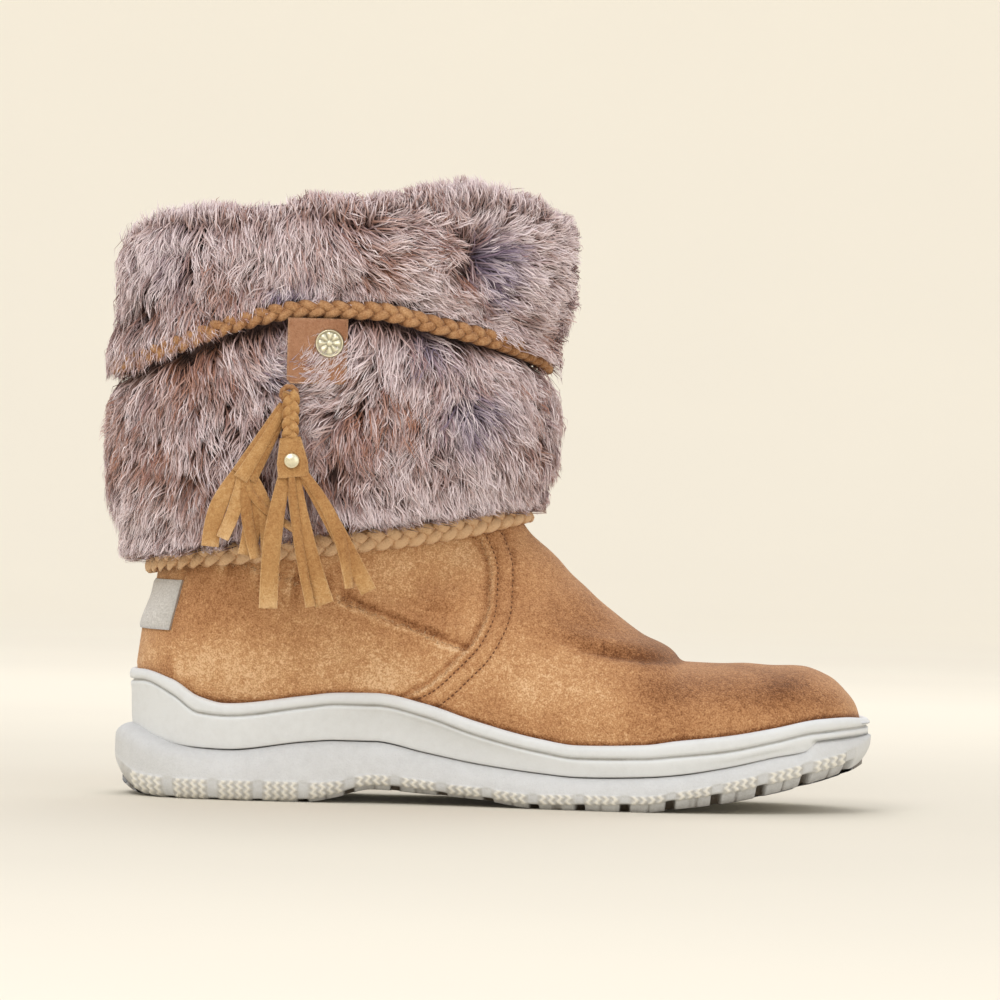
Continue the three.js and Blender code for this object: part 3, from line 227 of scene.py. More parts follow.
rows = np.array(LAST_ROWS)
steps = np.diff(rows, axis=0)
STATIONS = np.concatenate([[0], np.cumsum(np.sqrt(
    steps[:, 0] ** 2 + steps[:, 2] ** 2 + (0.4 * steps[:, 3]) ** 2 + (0.16 * steps[:, 4]) ** 2))])
END = STATIONS[-1]
LAST_CURVE = {name: Curve(STATIONS, rows[:, i]) for i, name in enumerate(LAST_NAMES)}


def high_height(share):
    return np.where(share <= 1, share * INSTEP, INSTEP + (share - 1) * (COLLAR - INSTEP))


def low_height(share):
    """In beds up to the crown of the heel's back, and from there evenly up to the collar."""
    crown, collar = 1.86, 7.57
    rise = (share - crown) / (collar - crown)
    return np.where(share <= crown, share * BED, mix(crown * BED, COLLAR - 4, rise))


def last_surface(station, angle):
    """Angle 0 is the toe's or shin's line, a quarter turn the outer side."""
    s = np.clip(station, 0, END)
    c = {name: curve(s) for name, curve in LAST_CURVE.items()}
    along, across = np.cos(angle), np.sin(angle)
    power = np.where(along > 0, c["upper"], c["lower"])
    reach = (np.abs(along) ** power + np.abs(across) ** power) ** (-1 / power)
    rise = c["widest"] + reach * along * np.where(along > 0, 1 - c["widest"], c["widest"])
    x = mix(c["low_x"], c["high_x"], rise) * SOLE
    y = LAST / 2 * (c["shift"] - reach * across * c["half"])
    z = mix(low_height(c["low_z"]), high_height(c["high_z"]), rise)
    return np.stack(np.broadcast_arrays(x, y, z), -1)


def last_normal(station, angle):
    n = 1e-3
    ahead, behind = np.minimum(station + n, END), np.maximum(station - n, 0)
    along = last_surface(ahead, angle) - last_surface(behind, angle)
    across = last_surface(station, angle + n) - last_surface(station, angle - n)
    return unit(np.cross(along, across))


def station_at(angle, height_at):
    """The shaft's stations at which the last reaches a height, which may depend on the place."""
    angle = np.asarray(angle, float)
    low = np.full(angle.shape, STATIONS[13])
    high = np.full(angle.shape, END)
    for _ in range(40):
        middle = (low + high) / 2
        point = last_surface(middle, angle)
        below = point[..., 2] < height_at(point)
        low = np.where(below, middle, low)
        high = np.where(below, high, middle)
    return (low + high) / 2


profile = np.array(PROFILE_ROWS)
PROFILE = {name: Curve(profile[:, 0], profile[:, i]) for i, name in enumerate(PROFILE_NAMES) if i}


def sole_height(name, x):
    return BED * PROFILE[name](np.clip(np.asarray(x) / SOLE, 0, 1))


plan = np.array(PLAN_ROWS)
plan_at = np.arccos(1 - 2 * plan[:, 0]) / math.pi
PLAN = {"outer": Curve(plan_at, plan[:, 1]), "inner": Curve(plan_at, plan[:, 2])}
lower_roll, upper_roll = np.array(LOWER_ROLL), np.array(UPPER_ROLL)
ROLLS = {
    "lower": (Curve(lower_roll[:, 0], lower_roll[:, 1]), Curve(lower_roll[:, 0], lower_roll[:, 2])),
    "upper": (Curve(upper_roll[:, 0], upper_roll[:, 1]), Curve(upper_roll[:, 0], upper_roll[:, 2])),
}
plait_rows = np.array(PLAIT_ROWS)
PLAIT = Curve(plait_rows[:, 0], plait_rows[:, 1])


def collar_at(x):
    return COLLAR + (x - 0.3 * SOLE) * 0.075


def upper_plait_height(x):
    return mix(INSTEP, COLLAR, PLAIT(x / SOLE))


def lower_plait_height(x):
    heel, shin = LAST_ROWS[-1][0] * SOLE, LAST_ROWS[-1][2] * SOLE
    return 0.818 * INSTEP + 0.188 * INSTEP * (x - heel) / (shin - heel)


def inner_share(angle):
    return smooth(0.15, 0.5, -np.sin(angle))


def roll_height(roll, rise, angle, x):
    groove = UPPER_PLAIT["width"] / 2 + 0.4
    second = inner_share(angle) * (UPPER_PLAIT["width"] + 0.4)
    if roll == "lower":
        lift = 3 * ((1 + np.cos(angle)) / 2) ** 4
        foot = lower_plait_height(x) + LOWER_PLAIT["width"] / 2 + 0.4 + lift
        return mix(foot, upper_plait_height(x) - groove - second, rise)
    return mix(upper_plait_height(x) + groove, collar_at(x) + FUR_RISE, rise)


def fur_depth(roll, rise, angle):
    back, front = ROLLS[roll]
    rise = np.clip(rise, 0, 1)
    return FUR_DEPTH * mix(back(rise), front(rise), (1 + np.cos(angle)) / 2)


def fur_point(roll, rise, angle, share=1.0, extra=0.0):
    rise = np.broadcast_to(rise, np.shape(angle))
    station = station_at(angle, lambda p: roll_height(roll, rise, angle, p[..., 0]))
    out = last_normal(station, angle)
    out[..., 2] = 0
    out = unit(out)
    return last_surface(station, angle) + out * (fur_depth(roll, rise, angle) * share + extra)[..., None], out


# Meshes and materials
def build(name, points, faces, material, replaces=(), smooth_shade=True):
    """A piece from points in millimetres from the heel's back."""
    points = np.array(points, float).reshape(-1, 3)
    points[:, 0] -= HEEL_REST
    mesh = bpy.data.meshes.new(name)
    mesh.from_pydata((points / 1000).tolist(), [], [list(map(int, face)) for face in faces])
    if smooth_shade:
        mesh.shade_smooth()
    mesh.materials.append(material)
    piece = bpy.data.objects.new(name, mesh)
    bpy.context.scene.collection.objects.link(piece)
    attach(piece, "root")
    if replaces:
        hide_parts(*replaces)
    return piece


def set_value(piece, name, values):
    made = piece.data.attributes.new(name, "FLOAT", "POINT")
    made.data.foreach_set("value", np.asarray(values, np.float32).ravel())


def set_colour(piece, name, colours):
    made = piece.data.color_attributes.new(name, "FLOAT_COLOR", "POINT")
    rgba = np.ones((len(colours), 4), np.float32)
    rgba[:, :3] = colours
    made.data.foreach_set("color", rgba.ravel())


def grid_faces(rings, columns, closed=True, start=0):
    i, j = np.meshgrid(np.arange(rings - 1), np.arange(columns if closed else columns - 1), indexing="ij")
    a = start + i * columns + j
    b = start + i * columns + (j + 1) % columns
    return np.stack([a, b, b + columns, a + columns], -1).reshape(-1, 4)


def ring_faces(rings, columns):
    """Faces of a grid whose last ring joins its first."""
    return grid_faces(rings + 1, columns) % (rings * columns)


def rim_faces(rings, columns):
    """The rim between an open grid and its copy behind it."""
    rim = [i * columns for i in range(rings)]
    rim += [(rings - 1) * columns + j for j in range(1, columns)]
    rim += [i * columns + columns - 1 for i in range(rings - 2, -1, -1)]
    rim += list(range(columns - 2, 0, -1))
    behind = rings * columns
    return [(b, a, a + behind, b + behind) for a, b in zip(rim, rim[1:] + rim[:1])]


class Shader:
    """Short calls for a material's nodes."""

    def __init__(self, name, **settings):
        self.material = bpy.data.materials.new(name)
        self.material.use_nodes = True
        self.tree = self.material.node_tree
        self.surface = self.tree.nodes["Principled BSDF"]
        for key, value in settings.items():
            self.surface.inputs[key.replace("_", " ")].default_value = value
        self.place = self.add("ShaderNodeTexCoord").outputs["Object"]

    def add(self, kind, **settings):
        node = self.tree.nodes.new(kind)
        for key, value in settings.items():
            setattr(node, key, value)
        return node

    def link(self, source, target):
        if isinstance(source, (int, float)):
            target.default_value = source
        elif isinstance(source, tuple):
            target.default_value = (*source, 1) if len(source) == 3 else source
        else:
            self.tree.links.new(source, target)

    def noise(self, scale, detail=2.0, roughness=0.55, stretch=None):
        node = self.add("ShaderNodeTexNoise")
        place = self.place
        if stretch:
            mapping = self.add("ShaderNodeMapping")
            mapping.inputs["Scale"].default_value = stretch
            self.link(self.place, mapping.inputs["Vector"])
            place = mapping.outputs["Vector"]
        self.link(place, node.inputs["Vector"])
        node.inputs["Scale"].default_value = scale
        node.inputs["Detail"].default_value = detail
        node.inputs["Roughness"].default_value = roughness
        return node.outputs["Fac"]

    def math(self, operation, a, b=0.0, clamp=False):
        node = self.add("ShaderNodeMath", operation=operation, use_clamp=clamp)
        self.link(a, node.inputs[0])
        self.link(b, node.inputs[1])
        return node.outputs[0]

    def around(self, value, amount):
        """A noise's value as a change of up to the amount either way."""
        return self.math("MULTIPLY", self.math("SUBTRACT", value, 0.5), 2 * amount)

    def attribute(self, name, output="Fac"):
        return self.add("ShaderNodeAttribute", attribute_name=name).outputs[output]

    def ramp(self, value, stops):
        node = self.add("ShaderNodeValToRGB")
        self.link(value, node.inputs["Fac"])
        elements = node.color_ramp.elements
        while len(elements) < len(stops):
            elements.new(0.5)
        for element, (at, colour) in zip(elements, stops):
            element.position = at
            element.color = (*colour, 1)
        return node.outputs["Color"]

    def blend(self, share, a, b, kind="MIX"):
        node = self.add("ShaderNodeMix", data_type="RGBA", blend_type=kind)
        self.link(share, node.inputs["Factor"])
        self.link(a, node.inputs["A"])
        self.link(b, node.inputs["B"])
        return node.outputs["Result"]

    def colour(self, value):
        self.link(value, self.surface.inputs["Base Color"])

    def roughness(self, value):
        self.link(value, self.surface.inputs["Roughness"])

    def bump(self, height, distance, strength=1.0, before=None):
        node = self.add("ShaderNodeBump")
        node.inputs["Strength"].default_value = strength
        node.inputs["Distance"].default_value = distance
        self.link(height, node.inputs["Height"])
        if before:
            self.link(before, node.inputs["Normal"])
        self.link(node.outputs["Normal"], self.surface.inputs["Normal"])
        return node.outputs["Normal"]


def suede_material(name, stops, speckle, grain, blotch):
    """Napped suede: a tone worked out in the mesh, with nap, grain and blotches over it."""
    s = Shader(name, Sheen_Weight=0.2, Sheen_Roughness=0.5, Specular_IOR_Level=0.12)
    s.surface.inputs["Sheen Tint"].default_value = (1, 0.86, 0.72, 1)
    fine = s.noise(1700, 2, 0.6)
    middle = s.noise(560, 3, 0.6)
    broad = s.noise(36, 4, 0.6)
    tone = s.math("ADD", s.attribute("tone"), s.around(fine, speckle))
    tone = s.math("ADD", tone, s.around(middle, grain))
    tone = s.math("ADD", tone, s.around(broad, blotch), clamp=True)
    s.colour(s.ramp(tone, stops))
    s.roughness(s.math("ADD", 0.86, s.around(middle, 0.08)))
    height = s.math("ADD", fine, s.math("MULTIPLY", middle, 0.8))
    s.bump(height, 0.0006, 0.7)
    return s.material


suede = suede_material("suede", (
    (0, (0.15, 0.055, 0.02)), (0.25, (0.3, 0.13, 0.052)), (0.5, (0.46, 0.225, 0.1)),
    (0.75, (0.6, 0.33, 0.155)), (1, (0.82, 0.55, 0.32))), speckle=0.62, grain=0.34, blotch=0.36)
cord_suede = suede_material("cord_suede", (
    (0, (0.15, 0.06, 0.025)), (0.35, (0.36, 0.175, 0.075)), (0.65, (0.54, 0.31, 0.155)),
    (1, (0.76, 0.51, 0.3))), speckle=0.4, grain=0.3, blotch=0.35)
tab_suede = suede_material("tab_suede", (
    (0, (0.12, 0.05, 0.025)), (0.4, (0.32, 0.15, 0.08)), (0.7, (0.43, 0.225, 0.13)),
    (1, (0.64, 0.4, 0.25))), speckle=0.22, grain=0.25, blotch=0.4)
tassel_suede = suede_material("tassel_suede", (
    (0, (0.17, 0.07, 0.022)), (0.35, (0.36, 0.17, 0.06)), (0.65, (0.52, 0.29, 0.115)),
    (1, (0.74, 0.49, 0.25))), speckle=0.3, grain=0.25, blotch=0.3)


def sole_material(name, light, cream, dark, grain):
    s = Shader(name, Specular_IOR_Level=0.35)
    fine = s.noise(1300, 3, 0.65)
    broad = s.noise(38, 4, 0.6)
    spots = s.noise(300, 3, 0.7)
    # Dirt and painted shade from the mesh, with worn spots over them, darken the rubber and the foam
    wear_and_shade = s.math("ADD", s.attribute("grime_and_shade"), s.around(broad, 0.2))
    wear_and_shade = s.math("ADD", wear_and_shade, s.around(spots, 0.16))
    wear_and_shade = s.math("ADD", wear_and_shade, s.around(fine, grain * 260), clamp=True)
    ramp = s.ramp(wear_and_shade, ((0, light), (0.35, tuple(mix(a, b, 0.2) for a, b in zip(light, dark))), (1, dark)))
    pale = s.blend(wear_and_shade, cream, dark)
    s.colour(s.blend(s.attribute("cream"), ramp, pale))
    s.roughness(s.math("ADD", 0.5, s.around(broad, 0.1)))
    s.bump(fine, grain, 0.5)
    return s.material


foam = sole_material("midsole_foam", (0.745, 0.765, 0.775), (0.7, 0.69, 0.63), (0.25, 0.22, 0.18), 0.0001)
rubber = sole_material("outsole_rubber", (0.66, 0.67, 0.675), (0.84, 0.81, 0.73), (0.1, 0.08, 0.06), 0.0005)


def fleece_material(name, light, dark):
    s = Shader(name, Roughness=0.95, Sheen_Weight=0.4, Specular_IOR_Level=0.1)
    curl = s.noise(420, 4, 0.7)
    s.colour(s.ramp(curl, ((0.3, dark), (0.65, light))))
    s.bump(curl, 0.0016, 0.8)
    return s.material


fleece = fleece_material("fleece", (0.62, 0.53, 0.42), (0.34, 0.26, 0.19))


def strand_material(name):
    s = Shader(name, Roughness=0.55, Sheen_Weight=0.15, Specular_IOR_Level=0.3)
    tint = s.attribute("strand", "Color")
    grain = s.ramp(s.noise(900, 2), ((0.3, (0.2, 0.15, 0.15)), (0.7, (0.9, 0.85, 0.86))))
    s.colour(s.blend(0.12, tint, grain, "OVERLAY"))
    return s.material


strands = strand_material("fur_strands")


def underfur_shade_material():
    s = Shader("underfur_shade", Roughness=0.9, Specular_IOR_Level=0.1)
    tuft = s.noise(260, 4, 0.7, (1, 1, 0.25))
    # The underfur's dark colour and painted shade of the fur's depth
    s.colour(s.ramp(tuft, ((0.3, (0.05, 0.03, 0.03)), (0.7, (0.2, 0.13, 0.12)))))
    s.bump(tuft, 0.003, 1.0)
    return s.material


underfur_shade = underfur_shade_material()


def metal_material(name, colour, dark, roughness):
    s = Shader(name, Metallic=1.0)
    worn = s.noise(900, 3, 0.6)
    tone = s.math("ADD", s.attribute("tone"), s.around(worn, 0.18), clamp=True)
    s.colour(s.ramp(tone, ((0, dark), (0.5, tuple(0.8 * c for c in colour)), (1, colour))))
    s.roughness(s.math("ADD", roughness, s.around(worn, 0.1)))
    s.bump(worn, 0.00005, 0.4)
    return s.material


badge_metal = metal_material("badge_metal", (0.84, 0.79, 0.6), (0.05, 0.04, 0.03), 0.34)
rivet_metal = metal_material("rivet_brass", (0.86, 0.8, 0.6), (0.2, 0.16, 0.1), 0.3)


def woven_material():
    s = Shader("woven_tag", Sheen_Weight=0.2, Specular_IOR_Level=0.2)
    weave = s.noise(700, 2, 0.5, (1, 1, 3))
    cross = s.noise(900, 2, 0.5, (3, 3, 1))
    thread = s.math("ADD", s.math("MULTIPLY", weave, 0.5), s.math("MULTIPLY", cross, 0.5))
    s.colour(s.blend(s.attribute("tone"), (0.3, 0.29, 0.27),
                     s.ramp(thread, ((0.3, (0.46, 0.44, 0.41)), (0.7, (0.76, 0.74, 0.71))))))
    s.roughness(0.8)
    s.bump(thread, 0.0003, 0.6)
    return s.material


def thread_material():
    s = Shader("stitch_thread", Roughness=0.8, Specular_IOR_Level=0.2)
    s.colour(s.ramp(s.noise(2500), ((0.3, (0.1, 0.045, 0.022)), (0.7, (0.2, 0.09, 0.045)))))
    return s.material


woven = woven_material()
thread = thread_material()


# Camera, lights and floor
def look_from(azimuth, height, distance, target, roll):
    camera = bpy.data.objects.new("camera", bpy.data.cameras.new("camera"))
    bpy.context.scene.collection.objects.link(camera)
    away = Vector((distance * math.sin(azimuth), -distance * math.cos(azimuth), height))
    camera.location = Vector(target) + away
    turn = (Vector(target) - camera.location).to_track_quat("-Z", "Y").to_matrix().to_4x4()
    camera.rotation_euler = (turn @ Matrix.Rotation(roll, 4, "Z")).to_euler()
    camera.data.lens = 200
    camera.data.sensor_width = 36
    bpy.context.scene.camera = camera


def area_light(name, place, target, size, power, colour):
    light = bpy.data.objects.new(name, bpy.data.lights.new(name, "AREA"))
    bpy.context.scene.collection.objects.link(light)
    light.location = place
    light.rotation_euler = (Vector(target) - Vector(place)).to_track_quat("-Z", "Y").to_euler()
    light.data.size = size
    light.data.energy = power
    light.data.color = colour


look_from(azimuth=0, height=0, distance=2.1, target=(0.093, 0, 0.114), roll=math.radians(1.5))
# Lights: name, place and target in metres, size, power in watts and colour
LIGHTS = (
    ("key", (-0.5, -1.3, 1.3), (0.09, 0, 0.1), 0.9, 10, (1, 0.99, 0.98)),
    ("fill", (1.2, -1.2, 0.5), (0.09, 0, 0.1), 1.4, 4, (0.97, 0.98, 1)),
    ("back", (0.1, 1.0, 1.1), (0.09, 0, 0.15), 0.9, 6, (1, 0.99, 0.98)),
)
for light_row in LIGHTS:
    area_light(*light_row)
world = bpy.data.worlds.new("world")
bpy.context.scene.world = world
world.use_nodes = True
world.node_tree.nodes["Background"].inputs["Color"].default_value = (0.96, 0.96, 1.0, 1)
world.node_tree.nodes["Background"].inputs["Strength"].default_value = 0.86
bpy.context.scene.view_settings.view_transform = "Standard"


def paper_material():
    s = Shader("paper", Roughness=0.95, Specular_IOR_Level=0.05)
    s.colour(s.ramp(s.noise(3, 2), ((0.3, (0.73, 0.685, 0.585)), (0.7, (0.745, 0.7, 0.595)))))
    s.surface.inputs["Emission Color"].default_value = (1, 0.93, 0.79, 1)
    s.link(s.attribute("glow"), s.surface.inputs["Emission Strength"])
    return s.material


def make_floor():
    """A round sweep in metres, so that every view has the same ground behind the boot."""
    flat, curve, top, columns = 3.0, 1.2, 1.6, 96
    rings = [(r, 0.0) for r in (0.4, 0.8, 1.2, 1.8, 2.4, flat)]
    for t in np.linspace(0.12, math.pi / 2, 12):
        rings.append((flat + curve * math.sin(t), curve - curve * math.cos(t)))
    rings.append((flat + curve, top))
    turns = np.linspace(0, 2 * math.pi, columns, endpoint=False)
    points = [(r * math.cos(t), r * math.sin(t), z) for r, z in rings for t in turns]
    faces = grid_faces(len(rings), columns)[:, ::-1].tolist() + [list(range(columns))]
    material = paper_material()
    mesh = bpy.data.meshes.new("floor")
    mesh.from_pydata(points, [], faces)
    mesh.shade_smooth()
    mesh.materials.append(material)
    floor = bpy.data.objects.new("floor", mesh)
    bpy.context.scene.collection.objects.link(floor)
    # Painted light: the paper glows a little away from the boot, to be as bright as a lit studio sweep
    set_value(floor, "glow", [0.26 * float(smooth(0.2, 1.9, r)) for r, _ in rings for _ in turns])


make_floor()


# Upper
def path_distance(x, z, path):
    """Distance to a path in side view, positive on the left of its direction."""
    best = np.full(np.shape(x), 1e9)
    signed = np.zeros(np.shape(x))
    for (ax, az), (bx, bz) in zip(path[:-1], path[1:]):
        dx, dz = bx - ax, bz - az
        t = np.clip(((x - ax) * dx + (z - az) * dz) / (dx * dx + dz * dz), 0, 1)
        away = np.hypot(x - ax - t * dx, z - az - t * dz)
        side = np.sign(dx * (z - az) - dz * (x - ax))
        nearer = away < best
        best = np.where(nearer, away, best)
        signed = np.where(nearer, away * side, signed)
    return signed


def refined(path, per=6):
    """A path through the same points with rounded corners."""
    path = np.array(path, float)
    reach = np.concatenate([[0], np.cumsum(np.hypot(*np.diff(path, axis=0).T))])
    at = np.linspace(0, reach[-1], per * (len(path) - 1) + 1)
    return list(zip(Curve(reach, path[:, 0])(at), Curve(reach, path[:, 1])(at)))


def side_path(table):
    return refined([(x * SOLE, float(high_height(np.float64(z)))) for x, z in table])


vamp_edge = side_path(VAMP_EDGE)
heel_edge = side_path(HEEL_EDGE)


def crease_place(x, z):
    """Height above the main crease, and how strong the crease is there."""
    line = np.interp(x, *np.array(CREASE).T)
    return z - line, smooth(160, 186, x) * (1 - smooth(211, 217, x))


def upper_relief(point):
    """How far the suede stands off the last, and the panels' distances, at places in side view."""
    x, z = point[..., 0], point[..., 2]
    ahead = path_distance(x, z, vamp_edge)
    below = -path_distance(x, z, heel_edge)
    vamp = smooth(-0.7, 0.5, ahead)
    panel = smooth(-0.6, 0.4, below) * (1 - vamp)
    relief = VAMP_STEP * vamp + HEEL_STEP * panel
    # The stitched rows sink, the suede between them swells, and it dips behind both panels' edges
    for row in STITCH_ROWS:
        relief = relief - 0.45 * bell(ahead, row, 0.8)
    relief = relief + 0.35 * bell(ahead, sum(STITCH_ROWS) / 2, 1.8)
    relief = relief - 0.7 * bell(below, -0.9, 1.0) * (1 - vamp) - 0.6 * bell(ahead, -1.0, 0.9)
    for fold in FOLDS:
        across, width = path_distance(x, z, refined(fold["path"])), fold["width"]
        relief = relief - fold["depth"] * bell(across, 0, width)
        relief = relief + fold["swell"] * bell(np.abs(across), 1.8 * width, width)
    # The instep's skin hangs over the main crease like a lip
    over, strength = crease_place(x, z)
    inside = 1 - smooth(196, 211, x)
    relief = relief - 1.3 * strength * bell(over, 0.2, 1.6) * mix(0.3, 1, inside)
    relief = relief + 1.1 * strength * bell(over, 4.5, 3.0) * inside
    return relief, ahead, below


def bumps(points, size, count, seed):
    """A soft, seeded field of lumps over the boot."""
    field = np.zeros(points.shape[:-1])
    local = np.random.default_rng(seed)
    low, high = points.reshape(-1, 3).min(0), points.reshape(-1, 3).max(0)
    for _ in range(count):
        centre = local.uniform(low, high)
        wide = size * local.uniform(0.6, 1.4)
        near = np.sum((points - centre) ** 2, -1) / wide**2
        field += local.choice((-1, 1)) * np.exp(-near)
    return field


# Light and dark places of the suede in side view: x, z, reach along, reach up, and change of tone
TONES = (
    (20, 50, 20, 10, 0.12), (45, 45, 30, 9, 0.1), (32, 68, 22, 12, -0.2), (14, 74, 12, 10, -0.14),
    (60, 84, 26, 7, -0.12), (86, 72, 20, 10, -0.1), (112, 60, 18, 9, -0.12), (102, 92, 20, 12, 0.1),
    (120, 78, 12, 9, -0.12), (128, 96, 8, 8, 0.05), (98, 50, 28, 11, 0.16), (150, 90, 16, 12, -0.1),
    (156, 66, 18, 12, 0.0), (152, 48, 26, 10, 0.18), (175, 40, 20, 8, 0.12), (197, 60, 16, 7, -0.22),
    (172, 66, 12, 9, -0.14), (205, 44, 10, 9, -0.16), (228, 46, 22, 8, -0.25), (252, 48, 10, 8, -0.24),
    (240, 36, 20, 6, -0.06), (268, 42, 8, 6, -0.22), (214, 34, 18, 6, 0.02), (180, 74, 16, 10, -0.05),
)


def suede_tone(point, ahead, below):
    """Tone of the suede at places in side view, with their distances from the panels' edges."""
    x, z = point[..., 0], point[..., 2]
    tone = np.full(x.shape, 0.68)
    tone = tone - 0.12 * smooth(-1, 1, ahead)
    for cx, cz, rx, rz, change in TONES:
        tone = tone + change * bell(x, cx, rx) * bell(z, cz, rz)
    # The cut edges are pale, and the suede behind them is in their shade
    tone = tone + 0.25 * bell(ahead, 0.3, 0.9) - 0.3 * bell(ahead, -1.2, 1.0)
    tone = tone + (0.35 * bell(below, 0.4, 1.4) - 0.42 * bell(below, -1.7, 1.6)) * (ahead < 0)
    for row in STITCH_ROWS:
        tone = tone - 0.2 * bell(ahead, row, 0.8)
    # Dirt and painted shade darken the suede just above the sole's lip
    tone = tone - 0.42 * (1 - smooth(0.2, 2.2, z - sole_height("lip", x)))
    # Painted shade under the instep's lip above the main crease, and a painted lighter band below it
    over, strength = crease_place(x, z)
    tone = tone - 0.3 * strength * smooth(-1.2, 0.6, over) * bell(over, 0, 6)
    return tone + 0.1 * strength * bell(over, -3, 3)


def open_faces(points, faces, above_bed):
    """The faces without those under the bed and those flat on the collar."""
    x, z = points[faces][..., 0], points[faces][..., 2]
    under = np.all(z < sole_height("bed", x) + above_bed, axis=1)
    flat = np.all(z >= collar_at(x) - 1e-6, axis=1)
    return faces[~under & ~flat]


def make_upper():
    """The suede and its fleece lining, open at the collar; returns a tree that finds the suede's skin."""
    shaft = 0.62 * END
    foot_stations = END * 0.002 + shaft * np.linspace(0, 1, 250) ** 1.15
    station = np.concatenate([foot_stations, np.linspace(shaft, END, 26)[1:]])
    angle = np.linspace(0, 2 * math.pi, 240, endpoint=False)
    s, a = np.meshgrid(station, angle, indexing="ij")
    base = last_surface(s, a)
    normal = last_normal(s, a)
    relief, ahead, below = upper_relief(base)
    lumps = 0.22 * bumps(base, 14, 120, 3) + 0.12 * bumps(base, 6, 260, 4)
    near_sole = smooth(0, 6, base[..., 2] - sole_height("lip", base[..., 0]))
    outer = base + normal * (relief + lumps * near_sole)[..., None]
    outer[..., 2] = np.minimum(outer[..., 2], collar_at(outer[..., 0]))
    rings, columns = s.shape
    tone = suede_tone(outer, ahead, below)
    # The lining's side
    si, ai = np.meshgrid(np.linspace(END, END * 0.01, 60), angle[::2], indexing="ij")
    inner = last_surface(si, ai) - last_normal(si, ai) * WALL
    inner[..., 2] = np.minimum(inner[..., 2], collar_at(inner[..., 0]))
    points = np.concatenate([outer.reshape(-1, 3), outer[:1].mean(1)])
    cap = [(len(points) - 1, (j + 1) % columns, j) for j in range(columns)]
    faces = open_faces(points, grid_faces(rings, columns), -1.5)
    lining = grid_faces(*inner.shape[:2], True, len(points))
    points = np.concatenate([points, inner.reshape(-1, 3)])
    lining = open_faces(points, lining, 1)
    piece = build("upper_suede", points, [*faces, *cap, *lining], suede, ("upper",))
    piece.data.materials.append(fleece)
    index = np.zeros(len(piece.data.polygons), np.int32)
    index[len(faces) + len(cap):] = 1
    piece.data.polygons.foreach_set("material_index", index)
    set_value(piece, "tone", np.concatenate([tone.ravel(), np.full(1 + inner[..., 0].size, 0.5)]))
    return BVHTree.FromPolygons(points.tolist(), [list(map(int, face)) for face in faces])


upper_tree = make_upper()


# Sole
def plan_ring(count):
    """The plan's outline from the heel along the outer side to the toe, and back along the inner side."""
    k = np.arange(2 * count)
    outer = k <= count
    t = np.where(outer, k, 2 * count - k) / count
    x = SOLE * (1 - np.cos(math.pi * t)) / 2
    y = BALL / 2 * np.where(outer, -PLAN["outer"](t), PLAN["inner"](t))
    return np.stack([x, y], -1)


def even_plan(spacing):
    """The outline at even steps, with the way in at each."""
    ring = plan_ring(400)
    closed = np.vstack([ring, ring[:1]])
    reach = np.concatenate([[0], np.cumsum(np.hypot(*np.diff(closed, axis=0).T))])
    count = int(reach[-1] / spacing)
    at = np.linspace(0, reach[-1], count, endpoint=False)
    even = np.stack([np.interp(at, reach, closed[:, 0]), np.interp(at, reach, closed[:, 1])], -1)
    ahead = np.roll(even, -2, 0) - np.roll(even, 2, 0)
    inward = unit(np.stack([-ahead[:, 1], ahead[:, 0]], -1))
    return even, inward


def ring_points(ring, inward, follows, rise, heel, toe, extra=0.0):
    x = ring[:, 0]
    inset = mix(heel, toe, np.clip(x / SOLE, 0, 1)) + extra
    flat = ring + inward * np.reshape(inset, (-1, 1))
    return np.column_stack([flat, sole_height(follows, flat[:, 0]) + rise])


band_rows = np.array(BAND_ROWS)
BAND = {"low": Curve(band_rows[:, 0], band_rows[:, 1]), "high": Curve(band_rows[:, 0], band_rows[:, 2])}


def band_relief(x, z):
    """Inset of the tread's edge, its dirt and painted shade, and its cream, by place and height above the
    tread.
    """
    pitch, gap = BLOCK["pitch"], BLOCK["gap"]
    local = (x - BLOCK["first"] + pitch / 2) % pitch - pitch / 2
    low, high = BAND["low"](x), BAND["high"](x)
    ends = smooth(1, 5, x) * (1 - smooth(0.965 * SOLE, 0.98 * SOLE, x))
    between = (1 - smooth(gap / 2 - 0.4, gap / 2 + 0.3, np.abs(local))) * (x > BLOCK["first"] - 5)
    band = smooth(low - 0.3, low + 0.3, z) * (1 - smooth(high - 0.5, high + 0.1, z)) * ends
    lug = (1 - smooth(low - 0.3, low + 0.5, z)) * ends
    in_block = (x - BLOCK["first"]) % pitch - pitch / 2
    wave = 0.62 * (np.abs(((z + 0.4) / 2.5) % 1 - 0.5) * 4 - 1)
    ribs = np.zeros_like(z)
    for centre in (-4.7, -1.6, 1.5, 4.6):
        ribs = np.maximum(ribs, np.exp(-(((in_block - centre - wave) / 0.85) ** 4)))
    ribs = ribs * (np.abs(in_block) < pitch / 2 - gap / 2 + 0.4)
    block_ = band * (1 - between)
    inset = -BLOCK["rise"] * (0.35 + 0.9 * ribs) * block_ + 0.25 * band * between
    # Under the band the lugs part, and each is a little rounded
    rounded = 0.25 * (1 - np.cos(in_block / pitch * 2 * math.pi))
    notch = bell(in_block, -1.2 * np.sin(x), 0.7) * lug
    inset = inset + lug * (BLOCK["notch"] * between + rounded) + 0.8 * notch
    # Dirt and painted shade between the ribs, in the gaps between the lugs and in their notches
    grime_and_shade = 0.38 * (1 - ribs) * block_ + 0.12 * band * between + lug * (0.3 + 0.6 * between + 0.3 * notch)
    return inset, grime_and_shade, block_ * (0.35 + 0.65 * ribs)


